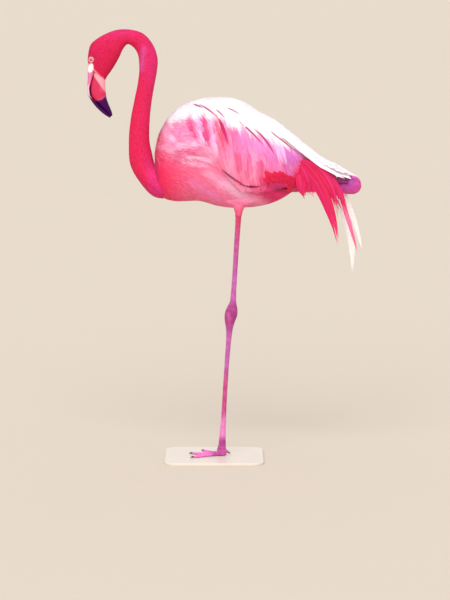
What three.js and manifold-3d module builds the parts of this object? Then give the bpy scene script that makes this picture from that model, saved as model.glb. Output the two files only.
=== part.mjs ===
// A life-size flamingo standing on its left leg on a flat base plate, with the right leg folded up
// along the flank. Millimetres, +Z up. The bird faces -X and its left side faces -Y.
// The origin lies on the floor, under the middle of the standing foot.
// Heights in the tables are measured from the sole of that foot; the base plate lifts the whole bird.
import * as THREE from "three";
import { mergeVertices } from "three/addons/utils/BufferGeometryUtils.js";
import Module from "manifold-3d";

const wasm = await Module();
wasm.setup();

const GAP = 0.3; // clearance between neighbouring pieces
const LEFT = -1; // sign of Y on the bird's left
const RIGHT = 1;
const BASE = { length: 230, width: 190, thickness: 6, corner: 26, edge: 0.8, middleX: 5 };

// ---------------------------------------------------------------- materials
const finish = (hex, roughness) =>
  new THREE.MeshStandardMaterial({ color: hex, roughness, metalness: 0 });
const PAINT = {
  rose: finish(0xf07ab0, 0.85), // pale body feathers
  coral: finish(0xe8305a, 0.85), // head, neck and breast feathers
  scarlet: finish(0xe0284c, 0.8), // drooping tertials
  ink: finish(0x2a1226, 0.6), // black flight feathers
  legSkin: finish(0xc85aa8, 0.6),
  billPale: finish(0xf0b6c4, 0.4),
  billPink: finish(0xe2607e, 0.4),
  claw: finish(0x3a1a34, 0.5),
  iris: finish(0xf0d070, 0.15),
  plate: finish(0xe4e0da, 0.5), // enamelled steel base
};

// ---------------------------------------------------------------- solids
const vec = (x, y, z) => new THREE.Vector3(x, y, z);
const ACROSS = vec(0, 1, 0);

function solidOf(geometry) {
  const bare = geometry.index ? geometry.toNonIndexed() : geometry.clone();
  const position = new THREE.BufferGeometry().setAttribute("position", bare.getAttribute("position"));
  const merged = mergeVertices(position, 1e-4);
  return new wasm.Manifold(
    new wasm.Mesh({
      numProp: 3,
      vertProperties: merged.attributes.position.array,
      triVerts: new Uint32Array(merged.index.array),
    }),
  );
}

function geometryOf(solid) {
  const mesh = solid.getMesh();
  const geometry = new THREE.BufferGeometry();
  geometry.setAttribute("position", new THREE.BufferAttribute(mesh.vertProperties, 3));
  geometry.setIndex(new THREE.BufferAttribute(mesh.triVerts, 1));
  return geometry;
}

const joined = (solids) => solids.reduce((whole, piece) => whole.add(piece));
const cutBy = (solid, ...tools) => solid.subtract(joined(tools));

// A cut can leave slivers beside the piece itself.
const largest = (solid) => solid.decompose().sort((a, b) => b.volume() - a.volume())[0];

// One rib of a loft: a middle, the ways up and down from it, and the way to its right side.
const rib = (mid, up, down, side) => ({ mid, up, down, side });

// A rib across the plane of symmetry, from a back point to a front point, each given as [x, z].
function spanRib([backX, backZ], [frontX, frontZ], halfWidth, grow = 0) {
  const back = vec(backX, 0, backZ);
  const front = vec(frontX, 0, frontZ);
  const half = back.clone().sub(front).multiplyScalar(0.5);
  const mid = front.clone().add(half);
  half.setLength(half.length() + grow);
  return rib(mid, half, half.clone().negate(), vec(0, halfWidth + grow, 0));
}

// The solid through a list of ribs: `steps` rings between two ribs, each a superellipse of `sides` points.
function loft(ribs, { steps = 3, sides = 20, power = 2.2 } = {}) {
  const curve = (key) => new THREE.CatmullRomCurve3(ribs.map((r) => r[key]), false, "catmullrom", 0.5);
  const [mid, up, down, side] = ["mid", "up", "down", "side"].map(curve);
  const rings = (ribs.length - 1) * steps + 1;
  const bulge = (value) => Math.sign(value) * Math.abs(value) ** (2 / power);
  const points = [];
  for (let r = 0; r < rings; r++) {
    const t = r / (rings - 1);
    const centre = mid.getPoint(t);
    for (let i = 0; i < sides; i++) {
      const angle = (2 * Math.PI * i) / sides;
      const rise = Math.sin(angle);
      const upright = (rise >= 0 ? up : down).getPoint(t).multiplyScalar(Math.abs(bulge(rise)));
      const sideways = side.getPoint(t).multiplyScalar(bulge(Math.cos(angle)));
      points.push(centre.clone().add(upright).add(sideways));
    }
  }
  points.push(mid.getPoint(0), mid.getPoint(1));
  const [first, last] = [points.length - 2, points.length - 1];
  const faces = [];
  for (let i = 0; i < sides; i++) {
    const next = (i + 1) % sides;
    for (let r = 0; r < rings - 1; r++) {
      const [a, b] = [r * sides + i, r * sides + next];
      faces.push(a, b, b + sides, a, b + sides, a + sides);
    }
    faces.push(first, next, i);
    faces.push(last, (rings - 1) * sides + i, (rings - 1) * sides + next);
  }
  const geometry = new THREE.BufferGeometry();
  const flat = new Float32Array(points.flatMap((p) => p.toArray()));
  geometry.setAttribute("position", new THREE.BufferAttribute(flat, 3));
  geometry.setIndex(faces);
  const made = solidOf(geometry);
  if (made.volume() > 0) return made;
  geometry.setIndex(faces.map((_, k) => faces[k - (k % 3) + 2 - (k % 3)]));
  return solidOf(geometry);
}

// A tapering limb through stations [x, y, z, half depth, half width]; each ring stands square to the path.
function limb(stations, { grow = 0, ...options } = {}) {
  const centres = stations.map(([x, y, z]) => vec(x, y, z));
  const ribs = stations.map(([, , , depth, width], i) => {
    const ahead = centres[Math.min(i + 1, centres.length - 1)];
    const behind = centres[Math.max(i - 1, 0)];
    const along = ahead.clone().sub(behind).normalize();
    const side = ACROSS.clone().addScaledVector(along, -along.y).normalize();
    const up = new THREE.Vector3().crossVectors(side, along).setLength(depth + grow);
    return rib(centres[i], up, up.clone().negate(), side.setLength(width + grow));
  });
  return loft(ribs, options);
}

function ball(x, y, z, radius) {
  const geometry = new THREE.SphereGeometry(radius, 9, 6).translate(x, y, z);
  geometry.deleteAttribute("normal").deleteAttribute("uv");
  return solidOf(geometry);
}

// A side-view outline of [x, z] points, smoothed, as a slab from y = near to y = far.
function slab(outline, near, far, divisions = 30) {
  const curve = new THREE.SplineCurve([...outline, outline[0]].map(([x, z]) => new THREE.Vector2(x, z)));
  const shape = new THREE.Shape(curve.getPoints(divisions).slice(0, -1));
  const geometry = new THREE.ExtrudeGeometry(shape, { depth: far - near, bevelEnabled: false });
  geometry.rotateX(Math.PI / 2).translate(0, far, 0);
  return solidOf(geometry);
}

const sided = (side, inner, outer) => (side === LEFT ? [-outer, -inner] : [inner, outer]);

// ---------------------------------------------------------------- trunk
// Each station is [x, top z, bottom z, z of the widest line, half width].
const TRUNK_STATIONS = [
  [-137, 700, 655, 678, 14],
  [-129, 738, 626, 690, 38],
  [-112, 777, 607, 705, 56],
  [-85, 811, 599, 715, 68],
  [-61, 824.5, 599, 718, 73],
  [-33, 834.5, 600, 720, 76.3],
  [18, 840, 587, 720, 77],
  [43, 838.5, 584, 717, 76],
  [70, 830.5, 584, 713, 72.5],
  [112, 806, 588, 704, 64],
  [152, 783, 600, 698, 51],
  [186, 756, 621, 693, 37],
  [212, 732, 645, 688, 24],
  [222, 712, 666, 688, 12],
];
const trunkRibs = (grow, wider = 0) =>
  TRUNK_STATIONS.map(([x, top, bottom, widest, half]) =>
    rib(
      vec(x, 0, widest),
      vec(0, 0, top - widest + grow),
      vec(0, 0, bottom - widest - grow),
      vec(0, half + grow + wider, 0),
    ),
  );
const TRUNK_MESH = { steps: 1, sides: 24, power: 2.15 };
const trunkCore = loft(trunkRibs(0), TRUNK_MESH);
const trunkClear = loft(trunkRibs(GAP), TRUNK_MESH);

// ---------------------------------------------------------------- neck and head
// Ribs from the breast up the neck: [back x, z], [front x, z], half width.
const NECK_RIBS = [
  [[-95, 676], [-95, 613], 38],
  [[-119, 681], [-137, 617], 36],
  [[-132, 687], [-169, 648], 28],
  [[-138, 711], [-188.5, 683], 24.5],
  [[-143.5, 738], [-192, 734], 22.5],
  [[-143, 783], [-187.5, 787], 20.5],
  [[-138.5, 827], [-178.5, 833], 18.8],
  [[-131, 870], [-170, 874], 18],
  [[-125.5, 900], [-167, 900], 18.4],
  [[-124, 928], [-167.5, 923], 18.8],
  [[-135, 960], [-171.5, 941], 18.6],
  [[-158, 985.5], [-181, 954], 18],
  [[-187, 994], [-193, 960], 17.8],
];
const HEAD_RIBS = [
  [[-187, 994], [-193, 960], 17.8],
  [[-219, 993], [-204, 948], 19],
  [[-244, 984], [-211, 933], 20.8],
  [[-264.5, 972], [-220.5, 915.5], 21.6],
  [[-278, 959.5], [-230.5, 900], 21],
  [[-284, 937], [-240, 887], 18.4],
  [[-285, 912], [-244, 879], 14.6],
];
// Cuts along the neck, as shares of its ribs: each length is a node of its own.
const NECK_CUTS = { neck_base: [0, 3], neck_lower: [3, 6], neck_middle: [6, 9], neck_upper: [9, 12] };

function shortenedEnds(ribs, atStart, atEnd) {
  const moved = ribs.map((r) => ({ ...r, mid: r.mid.clone() }));
  const shift = (from, to) => to.mid.clone().sub(from.mid).setLength(GAP / 2);
  if (atStart) moved[0].mid.add(shift(ribs[0], ribs[1]));
  if (atEnd) moved[ribs.length - 1].mid.add(shift(ribs[ribs.length - 1], ribs[ribs.length - 2]));
  return moved;
}

const allNeckRibs = NECK_RIBS.map((r) => spanRib(...r));
const neckPieces = Object.entries(NECK_CUTS).map(([name, [from, to]]) => {
  const ribs = shortenedEnds(allNeckRibs.slice(from, to + 1), from > 0, true);
  const length = loft(ribs, { steps: 2, sides: 14, power: 2 });
  return [name, from === 0 ? largest(length.subtract(trunkClear)) : length];
});

const EYE = { x: -275.5, y: 13, z: 925, radius: 5.6 };
const eyeBall = (side, grow = 0) => ball(EYE.x, side * EYE.y, EYE.z, EYE.radius + grow);
const headRibs = shortenedEnds(HEAD_RIBS.map((r) => spanRib(...r)), true, true);
const head = [LEFT, RIGHT].reduce(
  (skull, side) => skull.subtract(eyeBall(side, GAP)),
  loft(headRibs, { steps: 2, sides: 16, power: 2.25 }),
);

// ---------------------------------------------------------------- bill
// Stations down the bill: [culmen x, z], [gape x, z], [chin x, z], half width.
const BILL_STATIONS = [
  [[-285, 909], [-270, 895], [-245, 876.5], 12.6],
  [[-286, 884], [-275, 879], [-244.5, 862], 13.4],
  [[-286.5, 862], [-279.5, 860], [-243.5, 850], 13.8],
  [[-283.5, 843], [-277.5, 843], [-242, 837], 13.2],
  [[-273.5, 825.5], [-266.5, 829.5], [-238, 825], 11.2],
  [[-259.5, 809.5], [-252.5, 815], [-233.5, 814], 8.8],
  [[-245, 797.5], [-239.5, 803.5], [-229.8, 804], 6],
  [[-234.5, 791.5], [-232, 795.5], [-228.6, 797.5], 2.6],
];
const upperBill = loft(
  BILL_STATIONS.map(([culmen, gape, , half]) => spanRib(culmen, gape, half, -GAP / 2)),
  { steps: 2, sides: 10, power: 2.6 },
);
const lowerBill = loft(
  BILL_STATIONS.map(([, gape, chin, half]) => spanRib(gape, chin, half * 0.97, -GAP / 2)),
  { steps: 2, sides: 12, power: 2.3 },
);

// ---------------------------------------------------------------- wings and long feathers
const WING_THICKNESS = 11;
const FLIGHT_THICKNESS = 4;
// Side-view outlines, as [x, z].
const WING_OUTLINE = [
  [-133, 700], [-131, 745], [-112, 785], [-80, 816], [-20, 838], [60, 836],
  [130, 802], [188, 762], [206, 738], [202, 700], [190, 664], [160, 641],
  [118, 633], [78, 648], [40, 684], [-10, 700], [-70, 690],
];
const FLIGHT_OUTLINE = [
  [66, 652], [104, 640], [160, 643], [206, 652],
  [202, 628], [166, 616], [118, 619], [84, 632],
];
const WING_TOP_EDGE = 12; // half the strip of back between the wings
const WING_REACH = 140;
const wingBody = loft(trunkRibs(GAP, WING_THICKNESS), TRUNK_MESH);
const flightBody = loft(trunkRibs(GAP, FLIGHT_THICKNESS), TRUNK_MESH);

function grownOutline(outline, by) {
  const box = new THREE.Box2().setFromPoints(outline.map(([x, z]) => new THREE.Vector2(x, z)));
  const middle = box.getCenter(new THREE.Vector2());
  const size = box.getSize(new THREE.Vector2());
  const [wider, taller] = [1 + (2 * by) / size.x, 1 + (2 * by) / size.y];
  return outline.map(([x, z]) => [
    middle.x + (x - middle.x) * wider,
    middle.y + (z - middle.y) * taller,
  ]);
}

function flightFeathers(side) {
  return flightBody.subtract(trunkClear).intersect(slab(FLIGHT_OUTLINE, ...sided(side, 5, WING_REACH), 24));
}

function wing(side) {
  const span = slab(WING_OUTLINE, ...sided(side, WING_TOP_EDGE, WING_REACH));
  const blade = wingBody.subtract(trunkClear).intersect(span);
  const overFlight = loft(trunkRibs(2 * GAP, FLIGHT_THICKNESS), TRUNK_MESH).intersect(
    slab(grownOutline(FLIGHT_OUTLINE, 2 * GAP), ...sided(side, 4, WING_REACH), 24),
  );
  return blade.subtract(overFlight);
}

// The room that a wing takes, with its clearance.
const wingRoom = (side) =>
  loft(trunkRibs(2 * GAP, WING_THICKNESS), TRUNK_MESH).intersect(
    slab(grownOutline(WING_OUTLINE, 4 * GAP), ...sided(side, WING_TOP_EDGE - 1, WING_REACH)),
  );

// One drooping tertial: root, bend and tip as [x, y, z] on the left, with its greatest half width.
const PLUME_THICKNESS = 1.7;
function plume([rootX, rootY, rootZ], [bendX, bendY, bendZ], [tipX, tipY, tipZ], halfWidth, side) {
  const path = new THREE.QuadraticBezierCurve3(
    vec(rootX, side * rootY, rootZ),
    vec(bendX, side * bendY, bendZ),
    vec(tipX, side * tipY, tipZ),
  );
  const stations = [0, 0.14, 0.3, 0.5, 0.7, 0.87, 1].map((t) => {
    const p = path.getPoint(t);
    const taper = Math.max(0.07, Math.sin(Math.PI * (0.22 + 0.78 * t)) ** 0.8);
    return [p.x, p.y, p.z, halfWidth * taper, PLUME_THICKNESS * (0.45 + 0.55 * taper)];
  });
  return limb(stations, { steps: 1, sides: 4, power: 2 });
}
const PLUMES_LEFT = [
  [[200, 42, 666], [202, 43, 640], [214, 38, 605], 10],
  [[201, 42, 682], [218, 44, 656], [224, 40, 614], 12],
  [[202, 42, 694], [262, 44, 656], [293, 34, 496], 14],
  [[204, 41, 708], [272, 42, 680], [286, 34, 560], 15],
  [[206, 40, 722], [282, 40, 688], [312, 30, 558], 14],
  [[208, 39, 732], [292, 37, 680], [337, 26, 485], 9],
];
const PLUMES_RIGHT = [
  [[200, 44, 666], [204, 46, 640], [218, 45, 606], 10],
  [[202, 44, 688], [252, 49, 660], [284, 46, 530], 14],
  [[204, 44, 706], [268, 49, 676], [306, 45, 556], 15],
  [[206, 43, 720], [298, 47, 686], [330, 42, 429], 11],
  [[208, 42, 730], [308, 46, 688], [351, 41, 482], 9],
];
// The skin that the drooping tertials grow from, behind the wing's rear edge.
const PLUME_ROOT = [
  [198, 44, 654, 9, 2.6],
  [203, 43.5, 690, 13, 3],
  [206, 42.5, 716, 12, 3],
  [209, 41, 736, 7, 2.4],
];

// ---------------------------------------------------------------- tail
const TAIL_STATIONS = [
  [196, 0, 716, 14, 26],
  [232, 0, 703, 10, 33],
  [272, 0, 685, 6.5, 38],
  [304, 0, 671, 4, 38],
  [322, 0, 663, 2.4, 30],
  [329, 0, 660, 1.2, 16],
];

// ---------------------------------------------------------------- standing leg
const THIGH_LEFT = [
  [62, -34, 606, 22, 20],
  [62, -33.5, 590, 15, 14],
  [61.6, -33, 578, 10, 10],
  [61.2, -32.7, 568, 7.8, 7.8],
];
const SHANK_LEFT = [
  [61, -32.6, 567.4, 7, 6.4],
  [57, -29, 500, 6, 5.8],
  [52.5, -25, 425, 5.9, 5.6],
  [50, -22.8, 385, 6.4, 6],
  [48.6, -21.8, 364, 8.2, 7.6],
];
const HOCK_LEFT = [
  [48.4, -21.6, 362.8, 8.4, 7.8],
  [47, -20.6, 352, 12.6, 10.4],
  [44.6, -19.4, 338, 15, 11.8],
  [41.6, -18.4, 322, 12.6, 10],
  [40.6, -17.6, 306, 8.8, 8],
  [40.2, -17, 296, 7.2, 6.8],
];
const TARSUS_LEFT = [
  [40, -16.8, 295.4, 7.1, 6.6],
  [36, -13.5, 240, 5.6, 5.4],
  [31, -9.5, 165, 5.4, 5.2],
  [27, -6, 90, 6, 5.6],
  [24.5, -4, 46, 7.6, 7],
  [23.6, -3.4, 30, 8.6, 8.2],
];

// ---------------------------------------------------------------- folded leg
const SHANK_RIGHT = [
  [206, 31, 668, 10, 9.5],
  [226, 30.5, 662, 7.6, 7.4],
  [262, 29.5, 654, 6.4, 6.2],
  [291.4, 28.6, 647.5, 8.4, 7.4],
];
const HOCK_RIGHT = [
  [292, 28.4, 636.5, 19, 8.4],
  [306, 28.2, 635.5, 21, 10.8],
  [322, 28, 634.5, 22, 11.6],
  [336, 27.8, 633.5, 19, 10.4],
  [344, 27.6, 633, 12, 7.4],
  [347, 27.6, 633, 5, 3.4],
];
const TARSUS_RIGHT = [
  [289.6, 28.8, 625, 6.8, 6.8],
  [230, 38, 622, 5.6, 5.4],
  [160, 50, 621, 5.4, 5.2],
  [90, 59, 621, 5.6, 5.4],
  [30, 63.5, 620, 6.8, 6.4],
  [12, 64.5, 619, 7.6, 7.2],
];

// ---------------------------------------------------------------- feet
// Toes are given in the foot's own frame: it points to -X, with the ankle over the origin.
const TOES = [
  { name: "inner", length: 70, turn: 0.62, halfWidth: 4.4 },
  { name: "middle", length: 78, turn: 0, halfWidth: 4.8 },
  { name: "outer", length: 79, turn: -0.6, halfWidth: 4.5 },
];
const CLAW_LENGTH = 7.5;
const WEB_THICKNESS = 2.2;
const toePoint = (turn, distance) => [-Math.cos(turn) * distance, Math.sin(turn) * distance];

// Stations along a toe: share of its length, height, and share of its half width.
const TOE_SHAPE = [[0, 8.5, 1.25], [0.3, 6.4, 1], [0.62, 4.8, 0.95], [0.9, 4.6, 1], [1, 3.2, 0.72]];
// Stations along a claw: distance past the toe's end, height of its middle, half depth, half width.
const CLAW_SHAPE = [[0.4, 2.4, 2, 2.6], [4, 2, 1.6, 2], [CLAW_LENGTH, 0.9, 0.5, 0.5]];

function toe({ length, turn, halfWidth }, sides = 8) {
  const stations = TOE_SHAPE.map(([share, height, width]) => {
    const [x, y] = toePoint(turn, share * (length - CLAW_LENGTH));
    return [x, y, height * 0.42, height * 0.58, halfWidth * width];
  });
  return limb(stations, { steps: 1, sides });
}

function claw({ length, turn }) {
  const stations = CLAW_SHAPE.map(([past, middle, depth, width]) => {
    const [x, y] = toePoint(turn, length - CLAW_LENGTH + past);
    return [x, y, middle, depth, width];
  });
  return limb(stations, { steps: 1, sides: 6 });
}

// The web fills the foot between the toes, with its front edges drawn in between them.
function web() {
  const outline = [new THREE.Vector2(6, 0)];
  TOES.forEach(({ length, turn }, i) => {
    outline.push(new THREE.Vector2(...toePoint(turn, length * 0.84)));
    const next = TOES[i + 1];
    if (next) outline.push(new THREE.Vector2(...toePoint((turn + next.turn) / 2, length * 0.72)));
  });
  const shape = new THREE.Shape();
  shape.moveTo(outline[0].x, outline[0].y);
  shape.lineTo(outline[1].x, outline[1].y);
  shape.splineThru(outline.slice(2));
  shape.closePath();
  const rise = { depth: WEB_THICKNESS, bevelEnabled: false, curveSegments: 4 };
  return solidOf(new THREE.ExtrudeGeometry(shape, rise));
}

const ANKLE_TOP = 29.6;
const HEEL = [
  [1.6, 0, ANKLE_TOP, 8.8, 8.4],
  [1, 0, 20, 9.4, 9],
  [0, 0, 10, 11.5, 10.5],
  [-1, 0, -1, 12.5, 11],
];
const HIND_TOE = [
  [6, 0, 13, 4.2, 4],
  [12, 0.6, 10.2, 3.6, 3.4],
  [16, 1, 7.6, 2.8, 2.6],
];
const HIND_CLAW = [
  [16.4, 1, 7.3, 2.2, 2],
  [18.6, 1.2, 5.8, 1.5, 1.4],
  [20.6, 1.3, 4.2, 0.5, 0.5],
];

// The space over the sole, which leaves flats under the toes and the heel.
const overSole = solidOf(new THREE.BoxGeometry(400, 400, 200).translate(0, 0, 100));

function openFoot() {
  const pieces = [...TOES.map((t) => toe(t)), web(), limb(HEEL, { steps: 2, sides: 14 })];
  pieces.push(limb(HIND_TOE, { steps: 1, sides: 8 }));
  return joined(pieces).intersect(overSole);
}

// The folded foot: toes closed side by side, drooping ahead of the ankle.
const FOLDED_TOES = [
  { name: "inner", length: 64, turn: -0.14, halfWidth: 4.2 },
  { name: "middle", length: 74, turn: 0.01, halfWidth: 4.6 },
  { name: "outer", length: 68, turn: 0.16, halfWidth: 4.2 },
];
const FOLDED_PALM = [
  [8, 0, 3, 7.4, 7],
  [-2, 0, 3.4, 8.4, 9.4],
  [-22, 0, 2.6, 4.6, 9.6],
  [-44, 0, 2, 2.4, 9],
  [-50, 0, 1.8, 1.2, 6],
];
const FOLDED_HIND_TOE = [
  [4, -5, 0, 3.6, 3.4],
  [1, -9, -5, 3, 2.8],
  [-3, -11, -9, 2.2, 2.1],
];
const FOLDED_HIND_CLAW = [
  [-3.4, -11.2, -9.5, 1.7, 1.6],
  [-5, -11.9, -11.6, 1.2, 1.1],
  [-6.4, -12.4, -13.4, 0.4, 0.4],
];

// The hollow in the flank feathers that the folded foot lies in.
const FOOT_HOLLOW = [
  [12, 0, 3, 10, 11],
  [-2, 0, 3, 9.6, 12],
  [-30, 0, 3, 7, 13],
  [-74, 0, 3, 5, 14],
  [-84, 0, 3, 4, 10],
];
const HIND_TOE_HOLLOW = [
  [4, -4, 0, 5, 5],
  [-3, -11, -9, 4, 4],
  [-9, -14, -16, 3, 3],
];

function foldedFoot() {
  const palm = limb(FOLDED_PALM, { steps: 1, sides: 10 });
  const hindToe = limb(FOLDED_HIND_TOE, { steps: 1, sides: 8 });
  return joined([...FOLDED_TOES.map((t) => toe(t, 6)), palm, hindToe]);
}

const LEFT_FOOT_PLACE = new THREE.Matrix4().makeTranslation(22, -3.4, 0)
  .multiply(new THREE.Matrix4().makeRotationZ(-0.2));
const RIGHT_FOOT_PLACE = new THREE.Matrix4().makeTranslation(1, 65, 617)
  .multiply(new THREE.Matrix4().makeRotationZ(0.14))
  .multiply(new THREE.Matrix4().makeRotationY(-0.32))
  .multiply(new THREE.Matrix4().makeRotationX(Math.PI / 2 - 0.35));
const placed = (solid, matrix) => solid.transform(matrix.toArray());

// ---------------------------------------------------------------- base
function basePlate() {
  const { length, width, thickness, corner, edge } = BASE;
  const [x, y] = [length / 2 - corner, width / 2 - corner];
  const shape = new THREE.Shape();
  [[x, y], [-x, y], [-x, -y], [x, -y]].forEach(([cx, cy], quarter) => {
    shape.absarc(cx, cy, corner, (quarter * Math.PI) / 2, ((quarter + 1) * Math.PI) / 2, false);
  });
  const rise = {
    depth: thickness - 2 * edge,
    bevelThickness: edge,
    bevelSize: edge,
    bevelOffset: -edge,
    bevelSegments: 1,
    curveSegments: 3,
  };
  return solidOf(new THREE.ExtrudeGeometry(shape, rise).translate(BASE.middleX, 0, edge));
}

// ---------------------------------------------------------------- the model
const model = new THREE.Group();
const bird = new THREE.Group();
bird.position.z = BASE.thickness + GAP;
model.add(bird);

function add(name, solid, material, group = bird) {
  const mesh = new THREE.Mesh(geometryOf(solid), material);
  mesh.name = name;
  group.add(mesh);
}

add("stand_base", basePlate(), PAINT.plate, model);

// The folded leg lies in a furrow of the flank feathers.
const furrow = joined([
  limb(TARSUS_RIGHT, { grow: GAP, steps: 3, sides: 12 }),
  limb(SHANK_RIGHT, { grow: GAP, steps: 2, sides: 12 }),
]);
const footHollow = placed(
  joined([
    limb(FOOT_HOLLOW, { steps: 2, sides: 14 }),
    limb(HIND_TOE_HOLLOW, { steps: 1, sides: 10 }),
  ]),
  RIGHT_FOOT_PLACE,
);
const thighRoom = limb(THIGH_LEFT, { grow: GAP, steps: 2, sides: 18 });

add("trunk", cutBy(trunkCore, furrow, footHollow, thighRoom), PAINT.rose);
neckPieces.forEach(([name, solid]) => add(name, solid, PAINT.coral));
add("head", head, PAINT.coral);
add("bill_upper", upperBill, PAINT.billPale);
add("bill_lower", lowerBill, PAINT.billPink);
const tail = limb(TAIL_STATIONS, { steps: 1, sides: 14 });
const tailRoom = limb(TAIL_STATIONS, { grow: GAP, steps: 1, sides: 14 });
add("tail", largest(cutBy(tail, trunkClear, wingRoom(LEFT), wingRoom(RIGHT))), PAINT.rose);

for (const [word, side, plumes] of [["left", LEFT, PLUMES_LEFT], ["right", RIGHT, PLUMES_RIGHT]]) {
  const rootPath = PLUME_ROOT.map(([x, y, z, depth, width]) => [x, side * y, z, depth, width]);
  const root = limb(rootPath, { steps: 1, sides: 6 });
  const tertials = joined([...plumes.map((p) => plume(...p, side)), root]);
  const tertialsCut = cutBy(tertials, trunkClear, wingRoom(side), tailRoom, furrow);
  add(`eye_${word}`, eyeBall(side), PAINT.iris);
  add(`wing_${word}`, largest(cutBy(wing(side), furrow)), PAINT.rose);
  add(`flight_feathers_${word}`, largest(cutBy(flightFeathers(side), furrow)), PAINT.ink);
  add(`tertials_${word}`, largest(tertialsCut), PAINT.scarlet);
}

add("thigh_left", limb(THIGH_LEFT, { steps: 2, sides: 18 }), PAINT.coral);
add("shank_left", limb(SHANK_LEFT, { steps: 2, sides: 10 }), PAINT.legSkin);
add("hock_left", limb(HOCK_LEFT, { steps: 2, sides: 12 }), PAINT.legSkin);
add("tarsus_left", limb(TARSUS_LEFT, { steps: 2, sides: 10 }), PAINT.legSkin);
add("foot_left", placed(openFoot(), LEFT_FOOT_PLACE), PAINT.legSkin);
TOES.forEach((t) => add(`claw_left_${t.name}`, placed(claw(t), LEFT_FOOT_PLACE), PAINT.claw));
const hindClaw = limb(HIND_CLAW, { steps: 1, sides: 6 });
add("claw_left_hind", placed(hindClaw, LEFT_FOOT_PLACE), PAINT.claw);

add("shank_right", limb(SHANK_RIGHT, { steps: 2, sides: 10 }), PAINT.legSkin);
add("hock_right", limb(HOCK_RIGHT, { steps: 2, sides: 12 }), PAINT.legSkin);
add("tarsus_right", limb(TARSUS_RIGHT, { steps: 2, sides: 10 }), PAINT.legSkin);
add("foot_right", placed(foldedFoot(), RIGHT_FOOT_PLACE), PAINT.legSkin);
FOLDED_TOES.forEach((t) => add(`claw_right_${t.name}`, placed(claw(t), RIGHT_FOOT_PLACE), PAINT.claw));
const foldedHindClaw = limb(FOLDED_HIND_CLAW, { steps: 1, sides: 6 });
add("claw_right_hind", placed(foldedHindClaw, RIGHT_FOOT_PLACE), PAINT.claw);

export default model;
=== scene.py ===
"""A life-size museum flamingo: its skin, plumage, bill, eyes, feet and finishes, round a fixed frame.

The bird faces -X and its left side is -Y. Tables of stations are in millimetres, with heights
taken from the sole of the standing foot; meshes are in metres, in the frame.
"""

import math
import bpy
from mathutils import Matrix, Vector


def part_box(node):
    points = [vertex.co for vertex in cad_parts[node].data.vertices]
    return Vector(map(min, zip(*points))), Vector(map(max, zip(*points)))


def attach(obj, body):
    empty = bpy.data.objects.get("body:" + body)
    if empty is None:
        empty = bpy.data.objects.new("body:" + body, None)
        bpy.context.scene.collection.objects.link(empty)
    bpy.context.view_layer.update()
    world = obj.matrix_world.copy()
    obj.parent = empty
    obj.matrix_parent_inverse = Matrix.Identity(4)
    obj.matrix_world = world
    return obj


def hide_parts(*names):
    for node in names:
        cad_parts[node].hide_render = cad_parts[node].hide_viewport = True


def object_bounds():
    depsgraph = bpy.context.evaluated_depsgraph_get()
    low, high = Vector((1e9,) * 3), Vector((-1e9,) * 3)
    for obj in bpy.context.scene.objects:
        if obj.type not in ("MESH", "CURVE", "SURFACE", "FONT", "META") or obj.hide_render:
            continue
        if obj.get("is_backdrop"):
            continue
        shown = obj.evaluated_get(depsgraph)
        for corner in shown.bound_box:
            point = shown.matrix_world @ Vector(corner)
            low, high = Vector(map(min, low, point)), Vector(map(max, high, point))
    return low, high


bl_info = {
    "name": "Museum flamingo",
    "version": (1, 0, 0),
    "blender": (4, 5, 0),
    "location": "View3D > Sidebar > Flamingo",
    "description": "Builds the skin, plumage and finishes of a life-size flamingo round its fixed frame",
    "category": "Object",
}

import bmesh
import bpy
import numpy as np

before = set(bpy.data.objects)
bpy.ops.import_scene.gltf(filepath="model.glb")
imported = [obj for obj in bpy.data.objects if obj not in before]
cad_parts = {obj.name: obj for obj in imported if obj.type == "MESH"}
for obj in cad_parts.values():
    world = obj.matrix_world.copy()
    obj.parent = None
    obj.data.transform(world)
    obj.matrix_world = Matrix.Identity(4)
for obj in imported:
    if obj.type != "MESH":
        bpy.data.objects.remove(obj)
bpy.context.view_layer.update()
MM = 0.001
SOLE_GAP = 0.3 * MM
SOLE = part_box("stand_base")[1].z + SOLE_GAP
LEFT, RIGHT = -1, 1
SIDES = {"left": LEFT, "right": RIGHT}
TURN = 2 * math.pi
LEG_NODES = ("shank", "hock", "tarsus", "foot")
TOE_NAMES = ("inner", "middle", "outer")

# ---------------------------------------------------------------- the bird's build
# Trunk stations: x, top, bottom, height of the widest part, half width.
TRUNK = [
    (-140, 692, 664, 678, 5),
    (-137, 700, 655, 678, 14),
    (-129, 738, 626, 690, 38),
    (-112, 777, 607, 705, 56),
    (-85, 811, 599, 715, 68),
    (-61, 824.5, 599, 718, 73),
    (-33, 834.5, 600, 720, 76.3),
    (18, 840, 587, 720, 77),
    (43, 838.5, 584, 717, 76),
    (70, 830.5, 584, 713, 72.5),
    (112, 806, 588, 704, 64),
    (152, 783, 600, 698, 51),
    (186, 756, 621, 693, 37),
    (212, 732, 645, 688, 24),
    (222, 712, 666, 688, 12),
    (225, 700, 678, 688, 4),
]
TRUNK_POWER = 2.15
# The folded arm and hand under the coverts: x, top, bottom, height of the widest part, reach to the side.
ARM = [
    (-105, 770, 700, 735, 34),
    (-80, 795, 680, 735, 50),
    (-30, 812, 684, 742, 68),
    (40, 812, 682, 742, 76),
    (100, 792, 660, 726, 69),
    (150, 762, 662, 712, 55),
    (188, 736, 676, 704, 37),
]
ARM_POWER = 2.1
ARM_ROOT = 18
ARM_SWELL = 4
WING_THICKNESS = 11
FLIGHT_THICKNESS = 4
COAT_LIFT = 0.3
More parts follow.
